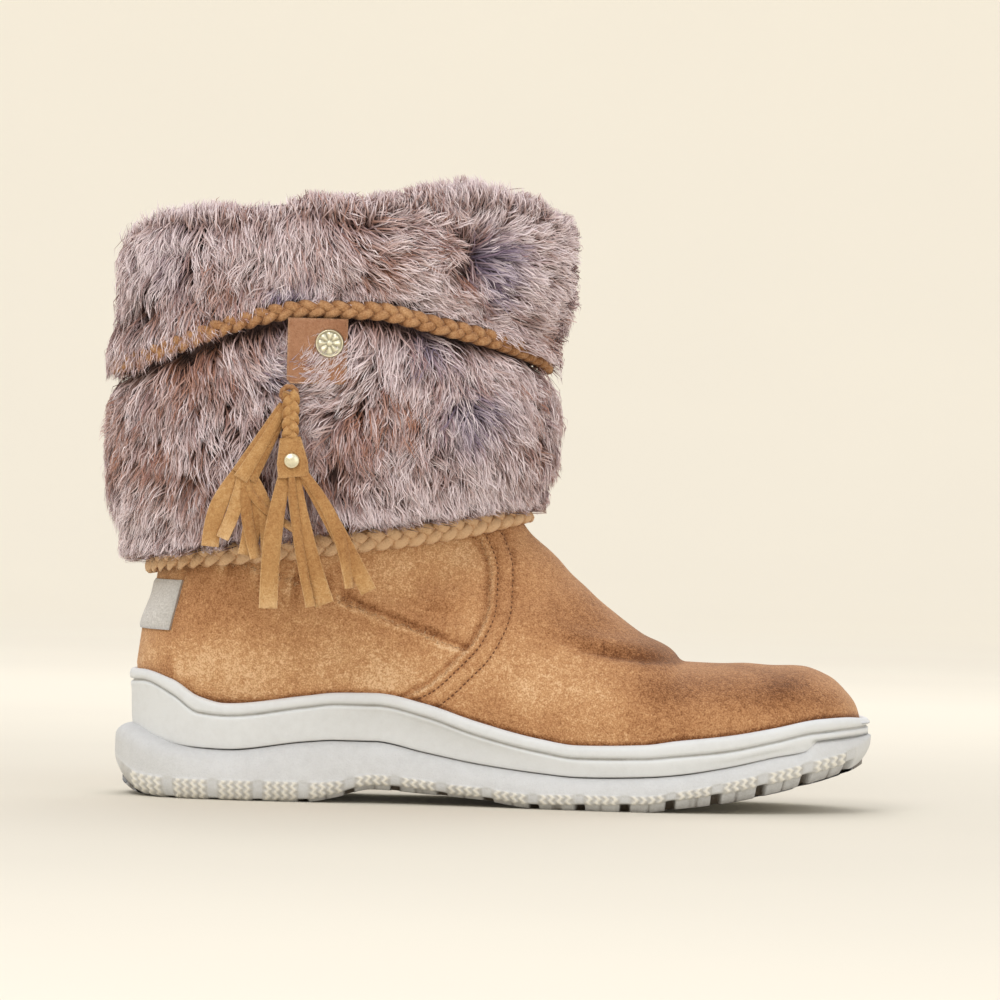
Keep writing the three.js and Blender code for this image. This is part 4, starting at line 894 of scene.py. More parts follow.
def outsole_wall():
    """Rings from the tread's edge up to the split line, with their dirt and painted shade, and their cream.
    """
    ring, inward = even_plan(0.56)
    x = ring[:, 0]
    along = np.clip(x / SOLE, 0, 1)
    tread, split, high = sole_height("tread", x), sole_height("split", x), BAND["high"](x)
    none = np.zeros(len(x))
    rings = []
    for share in np.linspace(0, 1, 18):
        relief, dirt_and_shade, pale = band_relief(x, share * high)
        inset = 0.1 + mix(3.0, 2.6, along) * (1 - share) ** 2.4 + relief
        # The band's dirt and painted shade, darker still towards the tread's edge
        rings.append((inset, tread + share * high, dirt_and_shade + 0.3 * (1 - share) ** 3, pale))
    # Above the band the wall leans in to the midsole, and the heel's shoulder is round
    heel = 1 - smooth(14, 46, x)
    top = mix(7.5, 3.0, along)
    for share in (0.06, 0.2, 0.4, 0.6, 0.7, 0.78, 0.85, 0.91, 0.96, 0.99, 1.0):
        shoulder = 1 - math.sqrt(1 - max((share - 0.5) / 0.5, 0) ** 2)
        inset = 0.1 + top * mix(0.75 * share**1.6 + 0.25 * share**9, shoulder, heel)
        # Painted shade darkens the wall towards the split line
        rings.append((inset, mix(tread + high, split - 0.15, share), none + 0.06 + 0.2 * share**12, none))
    # The last ring, tucked into the split line, is nearly black with painted shade
    rings.append((top + 3, split - 0.1, none + 0.9, none))
    inset, z, grime_and_shade, cream = np.array(rings).transpose(1, 0, 2)
    points = np.concatenate([ring + inward * inset[..., None], z[..., None]], -1)
    return points, grime_and_shade, cream


def outsole_underside(edge):
    """Lugs between zigzag cross grooves and two long grooves, inside the tread's edge; and their dirt and
    painted shade.
    """
    pitch, gap, first = (BLOCK[name] for name in ("pitch", "gap", "first"))
    xs = np.arange(3.2, SOLE - 3.2, 1.0)
    across = np.linspace(-1, 1, 57)
    half = len(edge) // 2
    sides = [side[np.argsort(side[:, 0])] for side in (edge[:half], edge[half:])]
    y_low, y_high = (np.interp(xs, side[:, 0], side[:, 1]) for side in sides)
    y = mix(y_low[:, None], y_high[:, None], (across + 1)[None] / 2)
    x = np.broadcast_to(xs[:, None], y.shape)
    zigzag = 0.14 * pitch * 2 * np.abs(((y / (BALL * 1.24) + 0.5) * 2) % 1 - 0.5) * 2
    local = (x - zigzag - first + pitch / 2) % pitch - pitch / 2
    groove = 1 - smooth(gap / 2 - 0.4, gap / 2 + 0.5, np.abs(local))
    for lane in (-0.36, 0.36):
        wander = lane + 0.05 * np.sin(x / 8.5)
        groove = np.maximum(groove, 1 - smooth(0.03, 0.055, np.abs(across[None] - wander)))
    in_block = (x - first) % pitch - pitch / 2
    sipe = 0.35 * bell(in_block, -0.8 * np.sin(y * 1.6), 0.6)
    depth = np.where(np.abs(across)[None] > 0.97, 0, 3.0 * np.maximum(groove, 0.4 * sipe))
    points = np.stack([x, y, sole_height("tread", x) + depth + 0.02], -1)
    # The grooves are darker with dirt and painted shade
    return points, 0.4 + 0.5 * groove + 0.1 * sipe


def make_outsole():
    wall, wall_grime_and_shade, cream = outsole_wall()
    under, under_grime_and_shade = outsole_underside(wall[0])
    wall_faces = grid_faces(*wall.shape[:2])[:, ::-1]
    under_faces = grid_faces(*under.shape[:2], False, wall_grime_and_shade.size)[:, ::-1]
    points = np.concatenate([wall.reshape(-1, 3), under.reshape(-1, 3)])
    faces = [*wall_faces, *under_faces]
    piece = build("outsole_tread", points, faces, rubber, ("outsole",))
    set_value(piece, "grime_and_shade", np.concatenate([wall_grime_and_shade.ravel(), under_grime_and_shade.ravel()]))
    set_value(piece, "cream", np.concatenate([cream.ravel(), np.zeros(under_grime_and_shade.size)]))


def suede_reach(place, way, inside=26.0):
    """How far in from a place the suede's skin lies, level."""
    start = Vector(place) + Vector((way[0], way[1], 0)) * inside
    hit = upper_tree.ray_cast(start, Vector((-way[0], -way[1], 0)), 60)
    return inside - hit[3] if hit[0] is not None else 3.0


def make_midsole():
    ring, inward = even_plan(1.0)
    points = np.array([ring_points(ring, inward, *row) for row in MIDSOLE_RINGS])
    outward = np.column_stack([-inward, np.zeros(len(inward))])
    # The lip stands at least its own thickness off the suede, and the wall under it a little less
    welt, bed = sole_height("welt", ring[:, 0]), sole_height("bed", ring[:, 0])
    top, lip = len(points) - 1, len(points) - 2
    for i in range(top, -1, -1):
        sunk = (0, 0, 0.6) if i >= lip - 1 else (0, 0, 0)
        least = LIP_THICKNESS if i == lip else 0.8
        reach = np.array([suede_reach(p - sunk, w) for p, w in zip(points[i], inward)])
        push = np.where(points[i, :, 2] > bed - 1.5, np.maximum(least - reach, 0), 0)
        push = np.max([np.roll(push, k) for k in range(-4, 5)], axis=0)
        push = np.mean([np.roll(push, k) for k in range(-6, 7)], axis=0)
        if i == top:
            top_push = push
        elif i == lip:
            lip_push = push
            points[top] += outward * np.maximum(push - top_push, 0)[:, None]
        if i <= lip:
            push = np.maximum(push, lip_push * smooth(welt - 4, welt + 0.5, points[i, :, 2]))
        points[i] += outward * push[:, None]
    reach = np.array([suede_reach(p - (0, 0, 0.6), w) for p, w in zip(points[-1], inward)])
    reach = np.maximum(reach, 0.3)
    edge = points[-1] - outward * (reach + 0.05)[:, None] - (0, 0, 0.75)
    under = points[-1] - outward * (reach + 0.9)[:, None] - (0, 0, 4.0)
    crown = (points[-1] + edge) / 2 + (0, 0, 0.25)
    points = np.concatenate([points, [crown, edge, under]])
    rings, columns = points.shape[:2]
    grime_and_shade = np.full((rings, columns), 0.04)
    for i, row in enumerate(MIDSOLE_RINGS):
        grime_and_shade[i] = MIDSOLE_GRIME_AND_SHADE.get(row[:2], 0.04)
    # The rim's inner edge and the part tucked under the suede are dark with painted shade
    grime_and_shade[-3:] = np.array((0.16, 0.75, 0.9))[:, None]
    faces = grid_faces(rings, columns)[:, ::-1]
    piece = build("midsole_wall", points, faces, foam, ("midsole",))
    set_value(piece, "grime_and_shade", grime_and_shade)
    set_value(piece, "cream", np.zeros(grime_and_shade.size))


make_outsole()
make_midsole()
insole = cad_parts["insole"]
insole.data.materials.clear()
insole.data.materials.append(fleece)


# Stitches
def beads(name, places, ways, ups, length, width, material):
    """Small stitches as flattened six-sided beads."""
    points, faces = [], []
    for place, way, up in zip(places, ways, ups):
        side = np.cross(way, up)
        start = len(points)
        for along, swell in ((-0.5, 0.45), (0, 1), (0.5, 0.45)):
            for turn in np.linspace(0, 2 * math.pi, 6, endpoint=False):
                aside = side * math.cos(turn) + up * math.sin(turn) * 0.7
                points.append(place + way * along * length + aside * swell * width / 2)
        for ring in range(2):
            for j in range(6):
                a, b = start + ring * 6 + j, start + ring * 6 + (j + 1) % 6
                faces.append((a, b, b + 6, a + 6))
        faces.append(tuple(start + j for j in range(5, -1, -1)))
        faces.append(tuple(start + 12 + j for j in range(6)))
    build(name, points, faces, material)


def row_on_upper(path, offset, side, spacing, above_lip):
    """Even places on the suede along a path in side view, moved aside by an offset, from lip to plait."""
    path = np.array(path)
    along = unit(np.gradient(path, axis=0))
    path = path + np.stack([-along[:, 1], along[:, 0]], -1) * offset
    reach = np.concatenate([[0], np.cumsum(np.hypot(*np.diff(path, axis=0).T))])
    at = np.arange(0, reach[-1], spacing)
    x, z = np.interp(at, reach, path[:, 0]), np.interp(at, reach, path[:, 1])
    places, ups = [], []
    for px, pz in zip(x, z):
        if not sole_height("lip", px) + above_lip < pz < lower_plait_height(px) + 2:
            continue
        hit = upper_tree.ray_cast(Vector((px, side * 90, pz)), Vector((0, -side, 0)), 90)
        if hit[0] is not None:
            places.append(np.array(hit[0]))
            normal = np.array(hit[1])
            ups.append(normal if normal[1] * side > 0 else -normal)
    places, ups = np.array(places), np.array(ups)
    ways = unit(np.gradient(places, axis=0))
    return places, ways, ups


stitched = [row_on_upper(vamp_edge, row, side, 2.0, 1) for side in (-1, 1) for row in STITCH_ROWS]
beads("stitches", *(np.concatenate(part) for part in zip(*stitched)), length=1.2, width=0.75, material=thread)


def raw_edge(name, path, side, keep, tone, seed, long):
    """The pale, frayed cut edge of a panel: short tufts of nap along a path."""
    local = np.random.default_rng(seed)
    places, ways, ups = row_on_upper(path, 0.1, side, 0.3, 0.3)
    chosen = keep(places)
    places, ways, ups = places[chosen], ways[chosen], ups[chosen]
    count = len(places)
    across = unit(np.cross(ways, ups))
    turn = local.normal(0, 0.9, count)[:, None]
    flip = local.choice((-1, 1), count)[:, None]
    lean = unit(across * np.cos(turn) * flip + ways * np.sin(turn) + 0.35 * ups)
    base = places - ups * 0.25 + across * local.normal(0, 0.22, count)[:, None]
    tip = base + lean * local.uniform(0.5, long, count)[:, None] + ups * 0.3
    wide = ways * 0.24
    high = ups * 0.34
    points = np.stack([base - wide, base + wide, base + high, tip], 1).reshape(-1, 3)
    pattern = np.array(((0, 1, 3), (1, 2, 3), (2, 0, 3), (0, 2, 1)))
    faces = (np.arange(count)[:, None, None] * 4 + pattern[None]).reshape(-1, 3)
    piece = build(name, points, faces, suede)
    set_value(piece, "tone", np.repeat(tone + local.normal(0, 0.12, count), 4))


def behind_vamp(places):
    return (path_distance(places[:, 0], places[:, 2], vamp_edge) < -1) & (places[:, 0] > 12)


def everywhere(places):
    return np.full(len(places), True)


for side, flank in ((-1, "outer"), (1, "inner")):
    raw_edge("raw_edge_heel_" + flank, heel_edge, side, behind_vamp, tone=1.0, seed=31, long=2.1)
    raw_edge("raw_edge_vamp_" + flank, vamp_edge, side, everywhere, tone=0.85, seed=32, long=1.3)


# Plaits
def plait(name, centre, out, spec, closed, node, light):
    """Three flat strips over and under one another along a path."""
    centre, out = np.array(centre), unit(np.array(out))
    if closed:
        centre, out = np.vstack([centre, centre[:1]]), np.vstack([out, out[:1]])
    reach = np.concatenate([[0], np.cumsum(np.linalg.norm(np.diff(centre, axis=0), axis=1))])
    total = reach[-1]
    turns = max(round(total / spec["turn"]), 1)
    count = int(total / 1.15)
    at = np.linspace(0, total, count, endpoint=not closed)

    def along(values):
        return np.stack([np.interp(at, reach, values[:, i]) for i in range(3)], -1)

    path, out = along(centre), unit(along(out))
    tangent = np.roll(path, -1, 0) - np.roll(path, 1, 0)
    if not closed:
        tangent = np.gradient(path, axis=0)
    tangent = unit(tangent)
    side = unit(np.cross(tangent, out))
    points, tone = [], []
    sides = 8
    amplitude = spec["width"] / 2 - spec["strip"] * 0.36
    for strand in range(3):
        phase = 2 * math.pi * (turns * at / total + strand / 3)
        over = np.sin(2 * phase)
        line = path + side * (amplitude * np.sin(phase))[:, None]
        line = line + out * (spec["thickness"] * 0.3 * over)[:, None]
        way = unit(np.roll(line, -1, 0) - np.roll(line, 1, 0) if closed else np.gradient(line, axis=0))
        wide = unit(np.cross(way, out))
        up = unit(np.cross(wide, way))
        for turn in 2 * math.pi * np.arange(sides) / sides:
            aside, rise = spec["strip"] / 2 * math.cos(turn), spec["thickness"] * 0.24 * math.sin(turn)
            points.append(line + wide * aside + up * rise)
            # Painted shade where a strip goes under the others and along its edges, and a painted highlight
            # where it comes over
            tone.append(light - 0.24 * (over < -0.2) - 0.16 * abs(math.cos(turn)) ** 3 + 0.06 * over)
    points = np.array(points).reshape(3, sides, count, 3).transpose(0, 2, 1, 3)
    tone = np.array(tone).reshape(3, sides, count).transpose(0, 2, 1)
    strip = ring_faces(count, sides) if closed else grid_faces(count, sides)
    faces = np.concatenate([strip + strand * count * sides for strand in range(3)])
    piece = build(name, points, faces, cord_suede, (node,))
    set_value(piece, "tone", tone)


def upper_plait_places(angles, drop):
    corner, out = fur_point("upper", 0.0, angles)
    corner[:, 2] -= UPPER_PLAIT["width"] / 2 + 0.4 + drop
    # At the shin it lies deeper in the fur
    sink = 2.6 * smooth(136, 150, corner[:, 0])
    return corner + out * (UPPER_PLAIT["thickness"] / 2 + GAP + 0.2 - sink)[:, None], out


round_angles = np.linspace(0, 2 * math.pi, 144, endpoint=False)
upper_line, upper_out = upper_plait_places(round_angles, 0)
plait("plait_upper", upper_line, upper_out, UPPER_PLAIT, True, "braid_upper", light=0.42)
inner_angles = round_angles[inner_share(round_angles) > 0.99]
inner_line, inner_out = upper_plait_places(inner_angles, UPPER_PLAIT["width"] + 0.4)
plait("plait_inner_side", inner_line, inner_out, UPPER_PLAIT, False, "braid_inner_side", light=0.5)
low_station = station_at(round_angles, lambda p: lower_plait_height(p[..., 0]))
low_out = last_normal(low_station, round_angles)
low_seat = VAMP_STEP + LOWER_PLAIT["thickness"] / 2 + GAP + 0.6
low_line = last_surface(low_station, round_angles) + low_out * low_seat
plait("plait_lower", low_line, low_out, LOWER_PLAIT, True, "braid_lower", light=0.98)


# Fur
# Boxes in side view behind which the fur lies flat, and how far out it may then come
PRESSED = ((62, 79, 159, 180, -68.2), (55, 76, 146, 159, -70.2), (46, 72, 96, 146, -70.6))
# The shaft as a table of places and ways out, by angle and height
FUR_LOW, FUR_MIDDLE, FUR_HIGH = 78.0, 170.0, 246.0
table_angle = np.linspace(0, 2 * math.pi, 121)
table_height = np.linspace(FUR_LOW, FUR_HIGH, 43)
table_a, table_z = np.meshgrid(table_angle, table_height, indexing="ij")
table_station = station_at(table_a, lambda p: table_z)
table_point = last_surface(table_station, table_a)
table_out = last_normal(table_station, table_a)
table_out[..., 2] = 0
table_out = unit(table_out)


def shaft_at(angle, height):
    """Places on the shaft and the level ways out of it."""
    u = (angle % (2 * math.pi)) / (2 * math.pi) * (len(table_angle) - 1)
    v = np.clip((height - FUR_LOW) / (FUR_HIGH - FUR_LOW), 0, 1) * (len(table_height) - 1)
    i = np.clip(u.astype(int), 0, len(table_angle) - 2)
    j = np.clip(v.astype(int), 0, len(table_height) - 2)
    s, t = (u - i)[..., None], (v - j)[..., None]

    def look(table):
        return mix(mix(table[i, j], table[i + 1, j], s), mix(table[i, j + 1], table[i + 1, j + 1], s), t)

    point, out = look(table_point), unit(look(table_out))
    point[..., 2] = height
    return point, out


# Places of the fur in side view, outer side then inner side: x, z, reach, brown, painted shade in the
# partings, light
FUR_PLACES = {
    -1: (
        (66, 188, 8, 0, 1.1, 0), (135, 203, 8, 0, 1.2, 0), (135, 192, 6, 0, 0.9, 0),
        (61, 159, 6, 0, 1.2, 0), (129, 149, 9, 0, 1.1, 0), (122, 136, 9, 0, 0.5, 0),
        (22, 201, 11, 0, 0.45, 0), (113, 170, 6, 0, 0.8, 0), (96, 197, 9, 1, 0, 0),
        (125, 199, 8, 0.9, 0, 0), (41, 187, 13, 0.6, 0, 0), (38, 158, 13, 0.9, 0, 0),
        (12, 132, 17, 0.7, 0, 0), (28, 119, 15, 0.6, 0, 0), (98, 142, 12, 0.8, 0, 0),
        (80, 128, 12, 0.8, 0.1, 0), (112, 153, 9, 0.4, 0, 0), (151, 131, 14, 0.5, 0.1, 0),
        (160, 172, 9, 0.7, 0, 0), (84, 212, 10, 0.4, 0.1, 0), (112, 214, 10, 0.4, 0.1, 0),
        (24, 164, 12, 0.5, 0, 0), (60, 176, 8, 0.5, 0.1, 0), (118, 125, 9, 0.4, 0, 0),
        (8, 212, 18, 0, 0, 1), (28, 218, 12, 0, 0, 0.9), (66, 208, 14, 0, 0, 0.6),
        (108, 190, 11, 0, 0, 0.9), (154, 214, 16, 0, 0, 1), (129, 228, 14, 0, 0, 0.8),
        (160, 191, 12, 0, 0, 0.8), (94, 167, 10, 0, 0, 0.9), (38, 140, 10, 0, 0, 0.9),
        (6, 102, 16, 0, 0, 1), (20, 107, 12, 0, 0, 0.8), (110, 115, 17, 0, 0, 1),
        (137, 121, 15, 0, 0, 0.9), (113, 158, 8, 0, 0, 0.6), (138, 158, 9, 0, 0, 0.7),
        (52, 164, 7, 0, 0, 0.7),
    ),
    1: (
        (60, 182, 9, 0, 1.0, 0), (112, 150, 9, 0, 1.1, 0), (40, 206, 10, 0, 0.6, 0),
        (128, 206, 10, 0, 0.9, 0), (98, 196, 10, 1, 0, 0), (70, 150, 13, 1, 0, 0),
        (34, 150, 14, 0.8, 0, 0), (88, 138, 12, 0.7, 0, 0), (24, 190, 12, 0.6, 0, 0),
        (132, 180, 11, 0.6, 0, 0), (140, 140, 12, 0.5, 0, 0), (16, 122, 14, 0.5, 0, 0),
        (12, 214, 17, 0, 0, 1), (60, 212, 14, 0, 0, 0.8), (110, 222, 14, 0, 0, 0.8),
        (150, 208, 15, 0, 0, 1), (24, 104, 18, 0, 0, 1), (62, 108, 16, 0, 0, 0.9),
        (104, 112, 17, 0, 0, 1), (134, 120, 14, 0, 0, 0.9), (112, 172, 9, 0, 0, 0.7),
        (46, 174, 10, 0, 0, 0.7), (130, 160, 10, 0, 0, 0.7),
    ),
}
# Where the fur parts and is combed away from a place: x, z, reach and strength
PARTINGS = {
    -1: ((66, 188, 17, 1.6), (135, 204, 19, 1.7), (61, 159, 16, 1.6), (129, 149, 20, 1.3), (22, 204, 14, 0.8),
         (98, 198, 11, 0.6), (88, 132, 12, 0.5), (40, 130, 13, -0.6), (66, 168, 27, -2.4)),
    1: ((60, 182, 17, 1.5), (112, 150, 19, 1.5), (40, 206, 15, 0.9), (128, 206, 18, 1.4), (30, 140, 14, 0.8)),
}
# Height of the fur's top by place from the heel, as its tufts stand
TOP_ROWS = ((-12, 200), (-6, 211), (3, 219), (13, 222), (22, 224), (41, 221), (59, 222), (69, 227), (87, 226),
            (106, 228), (115, 232), (134, 235), (143, 233), (153, 230), (162, 223), (171, 212))
# Over the upper plait, by place: how far above its middle the fur ends, and the share that hangs over it
OVER_ROWS = (
    (-14, -7, 1), (8, -6, 1), (18, -3.5, 0.6), (40, -2, 0.42), (57, -1, 0.3), (64, 2.6, 0), (133, 2.2, 0),
    (141, -5, 1), (175, -8, 1))
TIP = np.array((0.9, 0.79, 0.81))
MIDDLE = np.array((0.38, 0.215, 0.18))
ROOT = np.array((0.12, 0.06, 0.05))
BROWN = np.array((0.27, 0.115, 0.065))
# A dark slate colour painted as the shade in the fur's partings
PARTING_SHADE = np.array((0.12, 0.1, 0.175))


def fur_mood(x, z, side):
    """How brown, how dark with painted shade in its partings, and how light the fur is at places."""
    mood = np.zeros((3, len(x)))
    for cx, cz, reach, *amounts in FUR_PLACES[side]:
        near = np.exp(-((x - cx) ** 2 + (z - cz) ** 2) / reach**2)
        for kind, amount in enumerate(amounts):
            mood[kind] += amount * near
    return np.clip(mood * np.array((1.35, 1.1, 1.0))[:, None], 0, 1.2)


def fur_way(x, z, roll, rise, side):
    """Which way the fur is combed at places: towards the toe, and up."""
    along, up = np.zeros_like(x), np.full_like(x, -1.0)
    if roll == "upper":
        right = smooth(66, 96, x)
        top = smooth(0.93 - 0.33 * right, 0.99 - 0.2 * right, rise)
        along = 0.75 * right * (1 - top) + 0.3 * np.sin(x / 11) * top
        up = mix(mix(-1.0, -0.25, right), 1.0, top)
    else:
        along = 0.25 * smooth(70, 110, x) - 0.2 * (1 - smooth(10, 50, x))
    for cx, cz, reach, strength in PARTINGS[side]:
        dx, dz = x - cx, z - cz
        away = np.sqrt(dx**2 + dz**2) + 1.5
        push = strength * bell(away, 0, reach)
        along, up = along + push * dx / away, up + push * dz / away
    size = np.hypot(along, up) + 1e-6
    return along / size, up / size


# Strands of one half of a roll: tufts, locks in a tuft and hairs in a lock
TUFTS, LOCKS, HAIRS = 520, 6, 10
LOCK_COUNT = TUFTS * LOCKS
HAIR_COUNT = LOCK_COUNT * HAIRS
HAIR_LENGTH = 15.5
# About the fur's mean radius, which turns millimetres along it into an angle
FUR_RADIUS = 58.0


def lock(values):
    """A value for each tuft, repeated for its locks."""
    return np.repeat(values, LOCKS, axis=0)


def hair(values):
    """A value for each lock, repeated for its hairs."""
    return np.repeat(values, HAIRS, axis=0)


def press_behind_tab(root, bend, tip, upper, local):
    """Lays the strands flat behind the tab and the tassels' heads, and beside the tab over its edge."""
    tab_low, tab_high = box_of("keeper_tab_outer")
    on_tab = (tip[:, 0] > tab_low[0] + 4) & (tip[:, 0] < tab_high[0] + 3)
    on_tab &= (tip[:, 2] > tab_low[2] - 3) & (tip[:, 2] < tab_high[2] - 2) & (not upper)
    on_tab &= (root[:, 0] > tab_high[0] - 5) | (root[:, 2] < tab_low[2] + 5)
    for low_x, high_x, low_z, high_z, limit in PRESSED:
        under = (tip[:, 0] > low_x) & (tip[:, 0] < high_x) & ~on_tab
        under &= (tip[:, 2] > low_z) & (tip[:, 2] < high_z)
        for part in (tip, bend):
            part[:, 1] = np.where(under, np.maximum(part[:, 1], limit), part[:, 1])
    front = tab_low[1] - 0.7 - np.abs(local.normal(0, 0.6, HAIR_COUNT))
    tip[:, 1] = np.where(on_tab, np.minimum(tip[:, 1], front), tip[:, 1])
    bend[:, 1] = np.where(on_tab, np.minimum(bend[:, 1], front - 0.3), bend[:, 1])


def strand_mesh(root, bend, tip, flow, out, reach, local):
    """A slightly wavy, tapering ribbon of five triangles for each strand."""
    across = unit(np.cross(flow, out))
    wave = across * (local.normal(0, 0.7, HAIR_COUNT) * np.minimum(reach / 15, 1))[:, None]
    curve = []
    for t in (0.0, 0.4, 0.75, 1.0):
        arc = root * (1 - t) ** 2 + bend * 2 * t * (1 - t) + tip * t * t
        curve.append(arc + wave * math.sin(2 * math.pi * t))
    twist = local.normal(0, 0.5, HAIR_COUNT)[:, None]
    width_way = across * np.cos(twist) + out * np.sin(twist)
    width = local.uniform(0.32, 0.78, HAIR_COUNT)
    points = np.empty((HAIR_COUNT, 7, 3))
    for k, share in enumerate((1.0, 0.95, 0.62)):
        half = width_way * (width * share / 2)[:, None]
        points[:, 2 * k] = curve[k] - half
        points[:, 2 * k + 1] = curve[k] + half
    points[:, 6] = curve[3]
    pattern = np.array(((0, 1, 3), (0, 3, 2), (2, 3, 5), (2, 5, 4), (4, 5, 6)))
    return points, (np.arange(HAIR_COUNT)[:, None, None] * 7 + pattern[None]).reshape(-1, 3)


def strand_colours(x, z, side, stand, local):
    """Colours along each strand, from its dark root to its pale tip, by the fur's mood at its place, with
    painted shade in the partings.
    """
    brown, parting_shade, light = fur_mood(x, z, side)
    brown = brown + local.normal(0, 0.14, HAIR_COUNT) + hair(local.normal(0, 0.24, LOCK_COUNT))
    brown = np.clip(brown, 0, 1)
    parting_shade = parting_shade + local.normal(0, 0.1, HAIR_COUNT) + hair(local.normal(0, 0.12, LOCK_COUNT))
    parting_shade = np.clip(parting_shade, 0, 1)
    pale = 0.76 + 0.45 * light - 0.42 * brown - 0.25 * parting_shade + 0.12 * stand
    pale = pale + local.normal(0, 0.2, HAIR_COUNT) + hair(local.normal(0, 0.26, LOCK_COUNT))
    pale = np.clip(pale + hair(lock(local.normal(0, 0.12, TUFTS))), 0.05, 1.0)
    colours = np.empty((HAIR_COUNT, 7, 3))
    for k, t in enumerate((0, 0, 0.4, 0.4, 0.75, 0.75, 1.0)):
        base = mix(mix(ROOT, MIDDLE, min(t * 1.5, 1)), BROWN * (0.6 + 1.0 * t), brown[:, None])
        # Painted shade of the partings, along the whole strand
        base = mix(base, PARTING_SHADE * (0.6 + 1.2 * t), 0.85 * parting_shade[:, None])
        colours[:, k] = mix(base, TIP, (pale * smooth(0.2, 0.95, t))[:, None])
    return colours * (1 + local.normal(0, 0.08, HAIR_COUNT))[:, None, None]


def make_strands(name, roll, side, seed):
    """Strands in locks and tufts, for one roll and one half of the boot."""
    local = np.random.default_rng(seed)
    upper = roll == "upper"
    base_angle = 0.0 if side < 0 else math.pi
    tuft_angle = base_angle + local.uniform(-0.05, math.pi + 0.05, TUFTS)
    tuft_rise = local.uniform(0.0, 1.0, TUFTS)
    # Some of the upper roll's tufts stand up along its rim
    stands = (local.uniform(0, 1, TUFTS) < 0.24) & upper
    if upper:
        tuft_rise = np.where(stands, local.uniform(0.84, 0.95, TUFTS), 0.93 * tuft_rise)
    lock_angle = lock(tuft_angle) + local.normal(0, 3.0, LOCK_COUNT) / FUR_RADIUS
    x_at = shaft_at(lock_angle, np.full(LOCK_COUNT, FUR_MIDDLE))[0][:, 0]
    lock_rise = np.clip(lock(tuft_rise) + local.normal(0, 0.05, LOCK_COUNT), 0.0, 1.0)
    lock_height = roll_height(roll, lock_rise, lock_angle, x_at)
    place, out = shaft_at(lock_angle, lock_height)
    seen_x = place[:, 0] + out[:, 0] * fur_depth(roll, lock_rise, lock_angle)
    ragged_rise = lock_rise + local.normal(0, 0.05, LOCK_COUNT)
    along, up = fur_way(seen_x, lock_height, roll, ragged_rise, side)
    swing = lock(local.normal(0, 0.22, TUFTS)) + local.normal(0, 0.26, LOCK_COUNT)
    along, up = along * np.cos(swing) - up * np.sin(swing), along * np.sin(swing) + up * np.cos(swing)
    length = lock(local.uniform(0.8, 1.2, TUFTS)) * local.uniform(0.8, 1.15, LOCK_COUNT)
    length = length * (HAIR_LENGTH - 3.0 * upper * smooth(60, 100, seen_x))
    proud = lock(local.uniform(0.8, 1.05, TUFTS)) + local.normal(0, 0.04, LOCK_COUNT)

    angle = hair(lock_angle) + local.normal(0, 1.5, HAIR_COUNT) / FUR_RADIUS
    z = hair(lock_height) + local.normal(0, 1.5, HAIR_COUNT)
    stand = hair(lock(stands))
    a, u = hair(along), hair(up)
    turn = local.normal(0, 0.17, HAIR_COUNT)
    a, u = a * np.cos(turn) - u * np.sin(turn), a * np.sin(turn) + u * np.cos(turn)
    near, way_out = shaft_at(angle, z)
    seen = near[:, 0] + way_out[:, 0] * 0.75 * FUR_DEPTH
    top = np.interp(seen, *np.array(TOP_ROWS).T) + 1.5 - np.abs(local.normal(0, 2.0, HAIR_COUNT))
    top = top - hair(lock(local.uniform(0, 4.5, TUFTS)))
    if upper:
        sunk = np.where(stand, local.uniform(3, 13, HAIR_COUNT), local.uniform(0.5, 6, HAIR_COUNT))
        z = np.minimum(z, top - sunk)
        lean = hair(local.normal(0, 0.3, LOCK_COUNT)) + local.normal(0, 0.15, HAIR_COUNT)
        a = np.where(stand, np.sin(lean), a)
        u = np.where(stand, np.cos(lean), u)
    root_point, root_out = shaft_at(angle, z)
    foot = roll_height(roll, 0.0, angle, root_point[:, 0])
    span = roll_height(roll, 1.0, angle, root_point[:, 0]) - foot
    rise = np.clip((z - foot) / span, 0, 1)
    root_depth = fur_depth(roll, rise, angle)
    rim_share = local.uniform(0.0, 0.75, HAIR_COUNT)
    root_share = np.where(stand, rim_share, local.uniform(0.34, 0.6, HAIR_COUNT))
    root = root_point + root_out * (root_depth * root_share)[:, None]
    tangent = np.stack([root_out[:, 1], -root_out[:, 0], np.zeros(HAIR_COUNT)], -1) * side
    reach = hair(length) * local.uniform(0.72, 1.1, HAIR_COUNT)
    # Strands are cut short where they would hang past the plait below or rise past the top
    plait_height = upper_plait_height(root[:, 0])
    if upper:
        above, share = (np.interp(seen, *np.array(OVER_ROWS)[:, (0, k)].T) for k in (1, 2))
        hangs = local.uniform(0, 1, HAIR_COUNT) < share
        low = plait_height + np.where(hangs, above, np.maximum(above, 3.0)) + local.normal(0, 1.2, HAIR_COUNT)
        high = top
    else:
        hangs = np.zeros(HAIR_COUNT, bool)
        back = 1 - smooth(10, 60, root[:, 0])
        low = foot - 0.6 - 1.8 * back + local.normal(0, 1.3, HAIR_COUNT)
        high = plait_height - 1.6 + local.normal(0, 1.0, HAIR_COUNT)
    fall = np.where(u < 0, (z - low) / np.maximum(-u * reach, 1e-3), (high - z) / np.maximum(u * reach, 1e-3))
    reach = reach * np.clip(fall, 0.25, 1.0)
    flow = tangent * a[:, None] + np.array((0, 0, 1.0)) * u[:, None]
    tip_rise = np.clip((z + u * reach - foot) / span, 0.06, 0.96)
    tip_depth = np.maximum(fur_depth(roll, tip_rise, angle), 0.5 * root_depth)
    # What hangs over the plait lies on its face
    face = fur_depth(roll, 0.0, angle) + UPPER_PLAIT["thickness"] + 1.4
    over = hangs & (z + u * reach < plait_height + 4.5)
    tip_depth = np.where(over, np.maximum(tip_depth, face), tip_depth)
    lift = tip_depth * np.where(over, 1.0, hair(proud)) - root_depth * root_share
    lift = np.clip(lift + local.normal(0, 0.7, HAIR_COUNT), 1.5, np.where(over, 16.0, 12.5))
